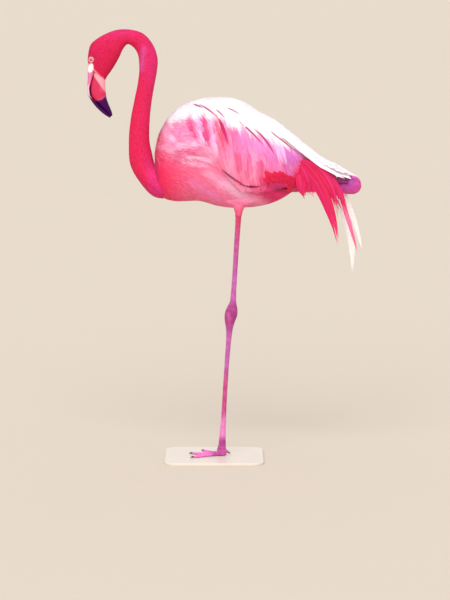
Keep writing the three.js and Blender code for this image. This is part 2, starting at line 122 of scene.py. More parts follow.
# Ribs up the neck and on to the bill: back x and z, front x and z, half width.
NECK = [
    (-95, 676, -95, 606, 38),
    (-119, 681, -137, 611, 36),
    (-132, 687, -169, 646, 28),
    (-138, 711, -188.5, 683, 24.5),
    (-143.5, 738, -192, 734, 22.5),
    (-143, 783, -187.5, 787, 20.5),
    (-138.5, 827, -178.5, 833, 18.8),
    (-131, 870, -170, 874, 18),
    (-125.5, 900, -167, 900, 18.4),
    (-124, 928, -167.5, 923, 18.8),
    (-135, 960, -171.5, 941, 18.6),
    (-158, 985.5, -181, 954, 18),
]
HEAD = [
    (-187, 994, -193, 960, 17.8),
    (-219, 993, -204, 948, 19),
    (-244, 984, -211, 933, 20.8),
    (-264.5, 972, -220.5, 915.5, 21.6),
    (-278, 959.5, -230.5, 900, 21),
    (-284, 937, -240, 887, 18.4),
    (-285, 912, -244, 879, 14.6),
]
EYE = (-275.5, 13, 925)
EYE_RADIUS = 5.6
# The eyelid's rim: its radius above and below the eye, how far out it stands, and its half thickness.
LID_ABOVE = 4.9
LID_BELOW = 4.7
LID_OUT = 3.0
LID_HALF = 1.6
# Bill stations: culmen x and z, gape x and z, chin x and z, half width.
BILL = [
    (-285, 911, -270, 897, -245, 878.5, 12.6),
    (-286, 884, -275, 879, -244.5, 862, 13.4),
    (-286.5, 862, -279.5, 860, -243.5, 850, 13.8),
    (-283.5, 843, -277.5, 843, -242, 837, 13.2),
    (-273.5, 825.5, -266.5, 829.5, -238, 825, 11.2),
    (-259.5, 809.5, -252.5, 815, -233.5, 814, 8.8),
    (-245, 797.5, -239.5, 803.5, -229.8, 804, 6),
    (-234.5, 791.5, -232, 795.5, -228.6, 797.5, 2.6),
]
# The line of the gape, as x at each z, and the edge of the dark tip, as z at each x.
GAPE_LINE = [795, 815, 829, 843, 860, 879, 897], [-232, -252.5, -266.5, -277.5, -279.5, -275, -270]
TIP_EDGE = [-288, -283, -279, -269, -262, -253, -247, -243], [846, 843, 839, 831.3, 830.9, 833.3, 838, 841.5]
COMB_TEETH = 44
SOCKET_DEPTH = 1.6
SOCKET_REACH = 7.5
# Limb stations: x, y, z, half depth, half width.
LEG_LEFT = [
    (62, -34, 606, 14, 13),
    (62, -33.5, 590, 10, 9.5),
    (61.6, -33, 578, 7.6, 7.4),
    (61, -32.6, 564, 6.9, 6.4),
    (57, -29, 500, 6, 5.8),
    (52.5, -25, 425, 5.9, 5.6),
    (50, -22.8, 385, 6.4, 6),
    (48.6, -21.8, 364, 8.2, 7.6),
    (47, -20.6, 352, 12.4, 10.2),
    (44.6, -19.4, 338, 14.8, 11.6),
    (41.6, -18.4, 322, 12.4, 9.8),
    (40.6, -17.6, 306, 8.6, 7.8),
    (39.8, -16.6, 290, 6.9, 6.5),
    (36, -13.5, 240, 5.6, 5.4),
    (31, -9.5, 165, 5.4, 5.2),
    (27, -6, 90, 6, 5.6),
    (24.5, -4, 46, 7.6, 7),
    (23.4, -3.4, 24, 9, 8.6),
    (22, -3.4, 10, 11.3, 10.3),
    (21.4, -3.4, 1.6, 11.8, 10.6),
]
THIGH = [
    (62, -32, 618, 15, 12),
    (62, -33, 604, 15.5, 12.5),
    (62, -33.5, 588, 12.6, 11),
    (61.6, -33, 575, 8.8, 8.6),
    (61.3, -32.8, 567, 7.6, 7.4),
]
# The feathered swelling over the root of the standing leg.
HIP = [
    (6, -29, 617, 3, 3),
    (26, -31.5, 610, 9, 9),
    (44, -33, 605.5, 14, 12.6),
    (62, -33.5, 604, 16, 13.4),
    (80, -33, 605.5, 14, 12.6),
    (100, -31.5, 610.5, 9, 9),
    (122, -29, 618, 3, 3),
]
LEG_RIGHT = [
    (206, 31, 668, 10, 9.5),
    (226, 30.5, 662, 7.6, 7.4),
    (262, 29.5, 654, 6.4, 6.2),
    (287, 28.6, 648, 8, 7.2),
]
HOCK_RIGHT = [
    (289, 28.5, 637, 15, 7.6),
    (296, 28.4, 636.4, 19.6, 9),
    (306, 28.2, 635.5, 21, 10.8),
    (322, 28, 634.5, 22, 11.6),
    (336, 27.8, 633.5, 19, 10.4),
    (344, 27.6, 633, 12, 7.4),
    (347, 27.6, 633, 5, 3.4),
]
TARSUS_RIGHT = [
    (295, 28.4, 626, 8.4, 8),
    (278, 30.4, 624.6, 6.4, 6.4),
    (230, 38, 622, 5.6, 5.4),
    (160, 50, 621, 5.4, 5.2),
    (90, 59, 621, 5.6, 5.4),
    (30, 63.5, 620, 6.8, 6.4),
    (9, 64.6, 618.6, 7.8, 7.2),
    (1, 65, 617.4, 8, 7),
]
# The rest is in the foot's own frame, which points to -X with the ankle over the origin.
PALM_RIGHT = [
    (8, 0, 3, 7.4, 7),
    (-2, 0, 3.4, 8.4, 9.4),
    (-22, 0, 2.6, 4.6, 9.6),
    (-44, 0, 2, 2.4, 9),
    (-50, 0, 1.8, 1.2, 6),
]
HIND_TOES = {
    "left": [(4, 0, 14, 4.4, 4.2), (10, 0.4, 11.2, 3.9, 3.6), (16, 1, 7.6, 2.8, 2.6)],
    "right": [(4, -5, 0, 3.6, 3.4), (1, -9, -5, 3, 2.8), (-3, -11, -9, 2.2, 2.1)],
}
HIND_CLAWS = {
    "left": [
        (15.4, 0.9, 8, 2.2, 2),
        (17.4, 1.1, 6.9, 1.9, 1.7),
        (19.2, 1.2, 5.6, 1.3, 1.2),
        (20.8, 1.3, 3.9, 0.4, 0.4),
    ],
    "right": [
        (-2.8, -10.9, -8.9, 1.8, 1.7),
        (-4, -11.6, -10.6, 1.5, 1.4),
        (-5.4, -12.1, -12.4, 1, 0.9),
        (-6.4, -12.4, -13.6, 0.3, 0.3),
    ],
}
# A front claw: how far past the toe's end, height, half depth, half width.
FRONT_CLAW = [
    (-0.8, 2.5, 2, 2.5),
    (2, 2.5, 1.9, 2.3),
    (4.6, 2, 1.4, 1.7),
    (6.4, 1.3, 0.9, 1),
    (7.5, 0.6, 0.3, 0.3),
]
# Toes: length, turn, half width.
TOES = {
    "left": [(70, 0.62, 4.4), (78, 0, 4.8), (79, -0.6, 4.5)],
    "right": [(64, -0.14, 4.2), (74, 0.01, 4.6), (68, 0.16, 4.2)],
}
CLAW_LENGTH = 7.5
WEB_HEIGHT = 2.2
# The lowest that the skin and the claws of the standing foot reach, and how fine each leg is melted.
SOLE_HEIGHT = 0.15
CLAW_HEIGHT = 0.12
LEG_LEFT_VOXEL = 0.95
LEG_RIGHT_VOXEL = 1.05
# Side-view outline of the wing, as x and z.
WING_OUTLINE = [
    (-133, 700), (-131, 745), (-112, 785), (-80, 816), (-20, 842), (60, 840),
    (130, 808), (188, 766), (206, 740), (202, 700), (190, 664), (160, 641),
    (118, 633), (78, 648), (40, 684), (-10, 700), (-70, 690),
]
# Tail stations: x, y, z, half depth, half width.
TAIL = [
    (196, 0, 716, 14, 26),
    (232, 0, 703, 10, 33),
    (272, 0, 685, 6.5, 38),
    (304, 0, 671, 4, 38),
    (322, 0, 663, 2.4, 30),
    (329, 0, 660, 1.2, 16),
]
# Drooping tertials: root, bend and tip of each plume, its half width, the tone that it fades to, and how
# far along the fading is half done.
PLUMES = {
    "left": [
        ((200, 42, 666), (202, 43, 640), (214, 38, 605), 10, "red", 0.9),
        ((201, 42, 682), (218, 44, 656), (224, 40, 614), 12, "red", 0.9),
        ((202, 42, 694), (262, 44, 656), (293, 34, 496), 14, "coral", 0.9),
        ((206, 41, 692), (274, 42, 676), (290, 34, 560), 15, "red", 0.9),
        ((208, 40, 688), (284, 39, 665), (314, 31, 556), 16, "cream", 0.93),
        ((296, 36, 612), (314, 33, 566), (337, 26, 482), 4.5, "salmon", 0.3),
        ((203, 42, 684), (226, 43, 656), (236, 38, 611), 15, "red", 0.9),
    ],
    "right": [
        ((200, 44, 666), (204, 46, 640), (218, 45, 606), 10, "red", 0.9),
        ((202, 44, 688), (252, 49, 660), (284, 46, 530), 14, "red", 0.9),
        ((204, 44, 700), (268, 49, 670), (306, 45, 556), 15, "blush", 0.8),
        ((206, 43, 698), (326, 46, 658), (330, 42, 429), 13, "cream", 0.36),
        ((208, 42, 700), (306, 44, 668), (351, 41, 482), 9, "cream", 0.36),
        ((203, 43, 684), (228, 44, 656), (238, 42, 611), 15, "red", 0.9),
    ],
}


# ---------------------------------------------------------------- small sums
def unit(v):
    return v / np.maximum(np.linalg.norm(v, axis=-1, keepdims=True), 1e-12)


def dot(a, b):
    return (a * b).sum(-1)


def step(low, high, x):
    """A smooth step from 0 at low to 1 at high, which may be the smaller."""
    w = np.clip((x - low) / (high - low), 0, 1)
    return w * w * (3 - 2 * w)


def colour(value):
    """A colour's values, from its name in the settings or from the values themselves."""
    return np.array(getattr(settings(), value)[:]) if isinstance(value, str) else value


def mix(a, b, weight):
    """Part of the way from one colour to another."""
    a, b = colour(a), colour(b)
    return a + (b - a) * np.asarray(weight)[..., None]


def layered(tones, *layers):
    """Tones with further colours laid over them in turn, each given with its weight."""
    for value, weight in layers:
        tones = mix(tones, value, weight)
    return tones


def ramp(x, stops):
    """Colours along x through stops of a place and a colour."""
    places = [place for place, _ in stops]
    channels = zip(*(colour(value) for _, value in stops))
    return np.stack([np.interp(x, places, channel) for channel in channels], -1)


def tone(red, green, blue):
    """A colour given as eight-bit display values, in linear light."""
    shares = [c / 255 for c in (red, green, blue)]
    return tuple(c / 12.92 if c <= 0.04045 else ((c + 0.055) / 1.055) ** 2.4 for c in shares)


def bulge(value, power):
    return np.sign(value) * np.abs(value) ** (2 / power)


def inside_outline(points, outline):
    """Whether each x, z point lies in a closed outline."""
    x, z = points[..., 0], points[..., 1]
    within = np.zeros(x.shape, bool)
    for (ax, az), (bx, bz) in zip(outline, outline[1:] + outline[:1]):
        crosses = (az > z) != (bz > z)
        within ^= crosses & (x < (bx - ax) * (z - az) / (bz - az + 1e-9) + ax)
    return within


def grid_faces(number):
    """The four-cornered faces between neighbours in a grid of numbered points."""
    return np.stack([number[:-1, :-1], number[1:, :-1], number[1:, 1:], number[:-1, 1:]], -1).reshape(-1, 4)


def bell(x, width):
    """1 at 0, fading to almost nothing at twice the width."""
    return np.exp(-((x / width) ** 2))


def turns(count):
    """Angles spread evenly round a circle."""
    return np.linspace(0, TURN, count, endpoint=False)


def near_line(points, line):
    """Distance from each point to the nearest point of a dense line."""
    return np.sqrt(((points[:, None, :] - line[None]) ** 2).sum(-1)).min(1)


# ---------------------------------------------------------------- forms
class Form:
    """A smooth closed form through ribs: share t runs along it by length, and an angle goes round it.

    Each rib has a middle, the ways up and down from it, and the way to its side; angle 0 is the side
    and a quarter turn is up.
    """

    def __init__(self, mid, up, down, side, power):
        self.keys = [np.array(k, float) for k in (mid, up, down, side)]
        self.power = np.broadcast_to(np.array(power, float), len(mid))
        gaps = np.linalg.norm(np.diff(self.keys[0], axis=0), axis=1)
        self.length = gaps.sum()
        self.knots = np.concatenate([[0], np.cumsum(gaps)]) / self.length
        self.slopes = [self.slope(k) for k in self.keys]

    def slope(self, key):
        gap = np.diff(self.knots)[:, None]
        rate = np.diff(key, axis=0) / gap
        inner = (gap[1:] * rate[:-1] + gap[:-1] * rate[1:]) / (gap[1:] + gap[:-1])
        first = 1.5 * rate[:1] - 0.5 * (inner[:1] if len(inner) else rate[:1])
        last = 1.5 * rate[-1:] - 0.5 * (inner[-1:] if len(inner) else rate[-1:])
        return np.concatenate([first, inner, last])

    def along(self, which, t):
        """The smooth curve through one of the four keys."""
        key, slope = self.keys[which], self.slopes[which]
        t = np.clip(t, 0, 1)
        span = np.clip(np.searchsorted(self.knots, t, side="right") - 1, 0, len(self.knots) - 2)
        width = self.knots[span + 1] - self.knots[span]
        f = ((t - self.knots[span]) / width)[..., None]
        width = width[..., None]
        a, b, c, d = key[span], key[span + 1], slope[span] * width, slope[span + 1] * width
        return a + f * (c + f * (3 * (b - a) - 2 * c - d + f * (2 * (a - b) + c + d)))

    def point(self, t, angle):
        t, angle = np.broadcast_arrays(np.asarray(t, float), np.asarray(angle, float))
        mid, up, down, side = (self.along(k, t) for k in range(4))
        power = np.interp(t, self.knots, self.power)
        rise = bulge(np.sin(angle), power)[..., None]
        tall = np.where(rise >= 0, up, down) * np.abs(rise)
        return mid + tall + side * bulge(np.cos(angle), power)[..., None]

    def frame(self, t, angle, small=2e-3):
        """Point, outward normal, and the rates of change along and round the form."""
        low, high = np.clip(t - small, 0, 1), np.clip(t + small, 0, 1)
        lengthwise = (self.point(high, angle) - self.point(low, angle)) / (high - low)[..., None]
        round_it = (self.point(t, angle + small) - self.point(t, angle - small)) / (2 * small)
        p = self.point(t, angle)
        normal = unit(np.cross(lengthwise, round_it))
        normal *= np.where(dot(normal, p - self.along(0, t)) < 0, -1, 1)[..., None]
        return p, normal, lengthwise, round_it

    def share_at(self, x):
        """The share at which a form along X passes x."""
        shares = np.linspace(0, 1, 400)
        return np.interp(x, self.along(0, shares)[:, 0], shares)

    def on_side(self, x, z, side):
        """The share and angle of the surface point seen from one side at x, z; for forms along X."""
        t = self.share_at(x)
        mid, up, down = (self.along(k, t)[..., 2] for k in range(3))
        high = np.where(z >= mid, (z - mid) / up, -(z - mid) / down)
        power = np.interp(t, self.knots, self.power)
        rise = np.arcsin(bulge(np.clip(high, -1, 1), 4 / power))
        return t, rise if side == RIGHT else math.pi - rise

    def holds(self, p, share=1.0):
        """Whether points lie inside the form at a share of its size; for forms along X."""
        t = self.share_at(p[..., 0])
        mid, up, down, side = (self.along(k, t) for k in range(4))
        rise = p[..., 2] - mid[..., 2]
        tall = np.where(rise >= 0, up[..., 2], -down[..., 2])
        power = np.interp(t, self.knots, self.power)
        size = np.abs(rise / tall) ** power + np.abs(p[..., 1] / side[..., 1]) ** power
        beyond = (p[..., 0] < self.keys[0][0, 0]) | (p[..., 0] > self.keys[0][-1, 0])
        return (size < share) & ~beyond

    def mesh(self, rings, sides, inset=0.0, start=0.0, end=1.0):
        """Points and faces of the closed form, drawn in by inset, which may change along it."""
        t, angle = np.meshgrid(np.linspace(start, end, rings), turns(sides), indexing="ij")
        p, normal, _, _ = self.frame(t, angle)
        p = p - normal * np.broadcast_to(np.asarray(inset, float), (rings,))[:, None, None]
        return tube(p)


def tube(rings):
    """Points and faces of a closed tube through rings of points."""
    count, sides = rings.shape[:2]
    points = [*rings.reshape(-1, 3)]
    here = np.arange(sides)
    after = (here + 1) % sides
    faces = []
    for r in range(count - 1):
        a, b = r * sides + here, r * sides + after
        faces.extend(np.stack([a, b, b + sides, a + sides], 1).tolist())
    faces.append(here[::-1].tolist())
    faces.append(((count - 1) * sides + here).tolist())
    points = np.array(points)
    middle = rings[0].mean(0)
    ahead = rings[1].mean(0) - middle
    turn = np.cross(rings[0, 0] - middle, rings[0, 1] - middle)
    if dot(turn, ahead) < 0:
        faces = [f[::-1] for f in faces]
    return points, faces


def crosswise(x=0.0, y=0.0, z=0.0):
    """Vectors from one row of values for each axis, where a single value stands for a whole row."""
    return np.stack(np.broadcast_arrays(x, y, z), 1).astype(float)


def span_form(rows, power):
    """A form whose ribs stand across the plane of symmetry, from a back point to a front point."""
    back_x, back_z, front_x, front_z, half = np.array(rows, float).T
    middle = crosswise((back_x + front_x) / 2, 0, (back_z + front_z) / 2)
    up = crosswise((back_x - front_x) / 2, 0, (back_z - front_z) / 2)
    return Form(middle, up, -up, crosswise(0 * half, half), power)


def upright_form(rows, power, y=0.0, wider=0.0, grow=0.0):
    """A form along X through upright ribs of top, bottom, height of the widest part and half width."""
    x, top, bottom, widest, half = np.array(rows, float).T
    up = crosswise(0 * x, 0, top - widest + grow)
    down = crosswise(0 * x, 0, bottom - widest - grow)
    return Form(crosswise(x, y, widest), up, down, crosswise(0 * x, half + wider), power)


def limb_form(stations):
    """A tapering limb through stations; each ring stands square to its path."""
    rows = np.array(stations, float)
    centre = rows[:, :3]
    ahead = np.concatenate([centre[1:], centre[-1:]])
    behind = np.concatenate([centre[:1], centre[:-1]])
    way = unit(ahead - behind)
    across = np.array([0.0, 1.0, 0.0])
    side = unit(across - way * way[:, 1:2])
    up = unit(np.cross(side, way))
    return Form(centre, up * rows[:, 3:4], -up * rows[:, 3:4], side * rows[:, 4:5], 2.0)


TRUNK_BODY = upright_form(TRUNK, TRUNK_POWER)
WING_BODY = upright_form(TRUNK, TRUNK_POWER, wider=WING_THICKNESS, grow=COAT_LIFT)
FLIGHT_BODY = upright_form(TRUNK, TRUNK_POWER, wider=FLIGHT_THICKNESS, grow=COAT_LIFT)
NECK_BODY = span_form(NECK + HEAD, [2.0] * len(NECK) + [2.25] * len(HEAD))
LEG_LEFT_BODY = limb_form(LEG_LEFT)
THIGH_BODY = limb_form(THIGH)
TAIL_BODY = limb_form(TAIL)


# ---------------------------------------------------------------- meshes and materials
def settings():
    return bpy.context.scene.flamingo


def new_object(name, data):
    made = bpy.data.objects.new(name, data)
    bpy.context.scene.collection.objects.link(made)
    return made


def sharpen(mesh, flat):
    """Shades all but the flat faces smooth, and keeps the flat ones from darkening those beside them."""
    mesh.polygons.foreach_set("use_smooth", ~flat)
    sizes = np.empty(len(mesh.polygons), np.int32)
    mesh.polygons.foreach_get("loop_total", sizes)
    edge_of = np.empty(len(mesh.loops), np.int32)
    mesh.loops.foreach_get("edge_index", edge_of)
    rim = np.zeros(len(mesh.edges), bool)
    rim[edge_of[np.repeat(flat, sizes)]] = True
    mesh.edges.foreach_set("use_edge_sharp", rim)


def in_frame(points):
    """Points in metres in the frame, from points in millimetres above the sole."""
    placed = np.asarray(points, float) * MM
    placed[:, 2] += SOLE
    return placed


def new_piece(name, points, faces, tones=None):
    """A mesh object from points in millimetres above the sole."""
    mesh = bpy.data.meshes.new(name)
    mesh.from_pydata(in_frame(points).tolist(), [], faces)
    mesh.update(calc_edges=True)
    sharpen(mesh, np.array([len(face) > 4 for face in faces]))
    if tones is not None:
        paint_points(mesh, tones)
    return new_object(name, mesh)


def paint_points(mesh, tones):
    layer = mesh.color_attributes.new("tone", "FLOAT_COLOR", "POINT")
    layer.data.foreach_set("color", np.concatenate([tones, np.ones((len(tones), 1))], 1).ravel())


def points_of(mesh):
    """A mesh's points in millimetres above the sole."""
    flat = np.empty(len(mesh.vertices) * 3)
    mesh.vertices.foreach_get("co", flat)
    points = flat.reshape(-1, 3) / MM
    points[:, 2] -= SOLE / MM
    return points


def set_points(mesh, points):
    mesh.vertices.foreach_set("co", in_frame(points).ravel())
    mesh.update()


def settle(piece, slot, material, *replaced):
    """Gives a finished piece its material, the body it rides on and the nodes it stands for. The slot is not
    used.
    """
    piece.data.materials.clear()
    piece.data.materials.append(material)
    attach(piece, "root")
    if replaced:
        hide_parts(*replaced)
    return piece


class Nodes:
    """A short way to write a material's nodes."""

    def __init__(self, name):
        self.material = bpy.data.materials.new(name)
        self.material.use_nodes = True
        self.tree = self.material.node_tree
        self.surface = self.tree.nodes["Principled BSDF"]

    def add(self, kind, **values):
        node = self.tree.nodes.new(kind)
        for key, value in values.items():
            setattr(node, key, value)
        return node

    def join(self, source, target):
        self.tree.links.new(source, target)

    def set(self, **values):
        """Constants on the surface shader's own sockets."""
        for key, value in values.items():
            self.surface.inputs[key.replace("_", " ")].default_value = value

    def maths(self, operation, *values):
        node = self.add("ShaderNodeMath", operation=operation)
        for socket, value in zip(node.inputs, values):
            if isinstance(value, (int, float)):
                socket.default_value = value
            else:
                self.join(value, socket)
        return node.outputs[0]

    def range(self, value, low, high, to_low=0.0, to_high=1.0):
        node = self.add("ShaderNodeMapRange", interpolation_type="SMOOTHSTEP")
        self.join(value, node.inputs["Value"])
        for key, number in (("From Min", low), ("From Max", high), ("To Min", to_low), ("To Max", to_high)):
            node.inputs[key].default_value = number
        return node.outputs["Result"]

    def blend(self, mode, weight, first, second):
        node = self.add("ShaderNodeMix", data_type="RGBA", blend_type=mode)
        for socket, value in zip((node.inputs[0], node.inputs[6], node.inputs[7]), (weight, first, second)):
            if isinstance(value, (int, float)):
                socket.default_value = value
            elif isinstance(value, tuple):
                socket.default_value = (*value, 1)
            else:
                self.join(value, socket)
        return node.outputs[2]

    def place(self, scale=1.0):
        """The surface's own place in the frame, in metres times scale."""
        source = self.add("ShaderNodeTexCoord").outputs["Object"]
        node = self.add("ShaderNodeVectorMath", operation="SCALE")
        self.join(source, node.inputs[0])
        node.inputs["Scale"].default_value = scale
        return node.outputs[0]

    def noise(self, vector, scale, detail=3.0):
        node = self.add("ShaderNodeTexNoise")
        node.inputs["Scale"].default_value = scale
        node.inputs["Detail"].default_value = detail
        self.join(vector, node.inputs["Vector"])
        return node.outputs["Fac"]

    def cells(self, vector, scale, feature="DISTANCE_TO_EDGE"):
        node = self.add("ShaderNodeTexVoronoi", feature=feature)
        node.inputs["Scale"].default_value = scale
        self.join(vector, node.inputs["Vector"])
        return node.outputs["Distance"]

    def attribute(self, name):
        return self.add("ShaderNodeAttribute", attribute_name=name)

    def painted(self):
        """The tones painted on the piece."""
        return self.attribute("tone").outputs["Color"]

    def stain(self, shade, noise, low, high, most, tinted):
        """Darkens a shade towards a tint in patches, where the noise passes from low to high."""
        return self.blend("MULTIPLY", self.range(noise, low, high, 0.0, most), shade, tinted)

    def bump(self, height, strength, distance, under=None):
        node = self.add("ShaderNodeBump")
        node.inputs["Strength"].default_value = strength
        node.inputs["Distance"].default_value = distance
        self.join(height, node.inputs["Height"])
        if under is not None:
            self.join(under, node.inputs["Normal"])
        return node.outputs["Normal"]

    def finish(self, base, normal=None, roughness=None):
        self.join(base, self.surface.inputs["Base Color"])
        if normal is not None:
            self.join(normal, self.surface.inputs["Normal"])
        if roughness is not None:
            self.join(roughness, self.surface.inputs["Roughness"])
        return self.material


# The barb depth, roughness and sheen of each kind of plumage.
PLUMAGE = {
    "body_plumage": (0.15, 0.66, 0.08),
    "wing_plumage": (0.16, 0.66, 0.08),
    "drooping_plumage": (0.08, 0.66, 0.08),
    "fine_plumage": (0.06, 0.66, 0.04),
    "flight_plumage": (0.3, 0.42, 0.05),
}


def feather_finish(name):
    """Vanes with a rachis, slanting barbs and soft mottling over their painted tones."""
    if name in bpy.data.materials:
        return bpy.data.materials[name]
    barb_depth, roughness, sheen = PLUMAGE[name]
    n = Nodes(name)
    n.set(Sheen_Weight=sheen, Sheen_Roughness=0.45, Specular_IOR_Level=0.1)
    vane = n.add("ShaderNodeSeparateXYZ")
    n.join(n.attribute("vane").outputs["Vector"], vane.inputs[0])
    aside = n.maths("ABSOLUTE", vane.outputs["X"])
    slant = n.maths("MULTIPLY", aside, 5.5)
    barb = n.maths("SUBTRACT", n.maths("MULTIPLY", vane.outputs["Y"], 1.1), slant)
    wave = n.maths("SINE", n.maths("MULTIPLY", barb, TURN))
    ripple = n.range(wave, -1, 1)
    rachis = n.range(aside, 0.03, 0.1, 1.0, 0.0)
    mottle = n.noise(n.place(), 160)
    shade = n.blend("MULTIPLY", n.maths("MULTIPLY", ripple, barb_depth), n.painted(), (0.72, 0.5, 0.62))
    shade = n.stain(shade, mottle, 0.35, 0.75, 0.22, (0.86, 0.66, 0.78))
    shade = n.blend("SCREEN", n.maths("MULTIPLY", rachis, 0.1), shade, (0.9, 0.6, 0.7))
    height = n.maths("ADD", n.maths("MULTIPLY", ripple, 0.5), rachis)
    rough = n.range(mottle, 0.3, 0.7, roughness - 0.08, roughness + 0.1)
    return n.finish(shade, n.bump(height, 0.25, 0.0003), rough)


def skin_finish():
    """Bare skin: scutes and creases on the legs, with painted shade in the creases, fine grain on the face,
    over painted tones.
    """
    n = Nodes("flamingo_skin")
    n.set(Specular_IOR_Level=0.42, Sheen_Weight=0.08, Subsurface_Weight=0.06, Subsurface_Scale=0.003)
    place = n.place()
    stretch = n.add("ShaderNodeVectorMath", operation="MULTIPLY")
    n.join(place, stretch.inputs[0])
    stretch.inputs[1].default_value = (0.75, 0.75, 1.25)
    scutes = n.cells(stretch.outputs[0], 300)
    fine = n.cells(place, 850)
    scuted = n.attribute("scuted").outputs["Fac"]
    crease = n.maths("SUBTRACT", 1.0, n.maths("MULTIPLY", scuted, n.range(scutes, 0.0, 0.14, 1.0, 0.0)))
    grain = n.range(fine, 0.0, 0.2, 0.0, 1.0)
    mottle = n.noise(place, 90)
    # Painted shade: the skin darkens in the creases between the scutes.
    deep = n.maths("SUBTRACT", 0.34, n.maths("MULTIPLY", crease, 0.34))
    shade = n.blend("MULTIPLY", deep, n.painted(), (0.5, 0.22, 0.4))
    shade = n.stain(shade, mottle, 0.4, 0.7, 0.3, (0.8, 0.6, 0.8))
    shade = n.blend("SCREEN", n.range(mottle, 0.55, 0.3, 0.0, 0.1), shade, (0.9, 0.5, 0.7))
    normal = n.bump(grain, 0.25, 0.0003, n.bump(crease, 0.6, 0.0006))
    return n.finish(shade, normal, n.range(mottle, 0.3, 0.7, 0.38, 0.55))


# ---------------------------------------------------------------- markings
def neck_marks(p, back=None):
    """Crimson head and neck, more magenta along the nape and in the crook at the breast."""
    x, z = p[..., 0], p[..., 2]
    base = mix("crimson", "scarlet", 0.5 * step(-165, -190, x) * step(1000, 880, z))
    nape = step(815, 900, z) * step(-178, -134, x)
    crook = step(760, 680, z) * step(-165, -125, x)
    if back is not None:
        nape = np.maximum(nape, 0.3 * step(0.1, 0.9, back) * step(620, 700, z))
    crown = step(966, 990, z) * step(-150, -190, x)
    base = mix(base, "magenta", np.clip(nape * 0.55 + crook * 0.9 + crown * 0.45, 0, 1))
    # Painted shade: a violet stroke down the inside of the neck's upper bend.
    return mix(base, "violet", 0.35 * streak(p, (-156, 950), (-162, 905), 7))


def streak(p, start, end, reach):
    """How near each point's side view is to the line from start to end, fading over reach."""
    a, b = np.array(start, float), np.array(end, float)
    q = p[..., [0, 2]]
    share = np.clip(((q - a) @ (b - a)) / ((b - a) @ (b - a)), 0, 1)
    gap = np.linalg.norm(q - a - share[..., None] * (b - a), axis=-1)
    return bell(gap, reach)


def white_edge(x):
    """The height of the lower edge of the back's painted highlight, which is ragged over the shoulder."""
    places = [-140, -102, -80, -60, -30, 20, 56, 91, 128, 198, 230]
    edge = np.interp(x, places, [776, 787, 793, 800, 804, 798, 776, 764, 750, 720, 706])
    return edge + (5 * np.sin(x * 0.22) + 3 * np.sin(x * 0.57 + 1)) * step(30, -10, x)


def body_marks(p):
    """Crimson breast, coral belly with a pale band along the flank, pink sides, and a pale pink back painted
    white as a painted highlight.
    """
    x, z = p[..., 0], p[..., 2]
    # Breast is a brighter crimson: painted light that makes up for the shade on the underside, which faces
    # down.
    rear = mix("breast", "magenta", 0.5)
    under = ramp(x, [
        (-135, "crimson"),
        (-118, "breast"),
        (-92, mix("breast", "coral", 0.4)),
        (-50, mix("coral", "salmon", 0.2)),
        (-15, mix("coral", "salmon", 0.4)),
        (50, "salmon"),
        (92, mix("salmon", rear, 0.35)),
        (126, rear),
    ])
    crook = step(-112, -134, x) * step(615, 650, z) * step(720, 680, z)
    under = mix(under, "magenta", 0.75 * crook)
    side = ramp(x, [
        (-135, mix("coral", "crimson", 0.45)),
        (-108, mix("coral", "shoulder", 0.4)),
        (-60, "shoulder"),
        (0, mix("shoulder", "coral", 0.3)),
        (60, mix("shoulder", "lilac", 0.5)),
        (120, "lilac"),
    ])
    base = mix(under, side, step(665, 745, z))
    for start, end, reach, name, weight in STREAKS:
        base = mix(base, name, weight * streak(p, start, end, reach))
    # Painted highlight: above the ragged edge, the pale pink back is painted white where light falls on its
    # top.
    return mix(base, "white", step(-16, 6, z - white_edge(x)))


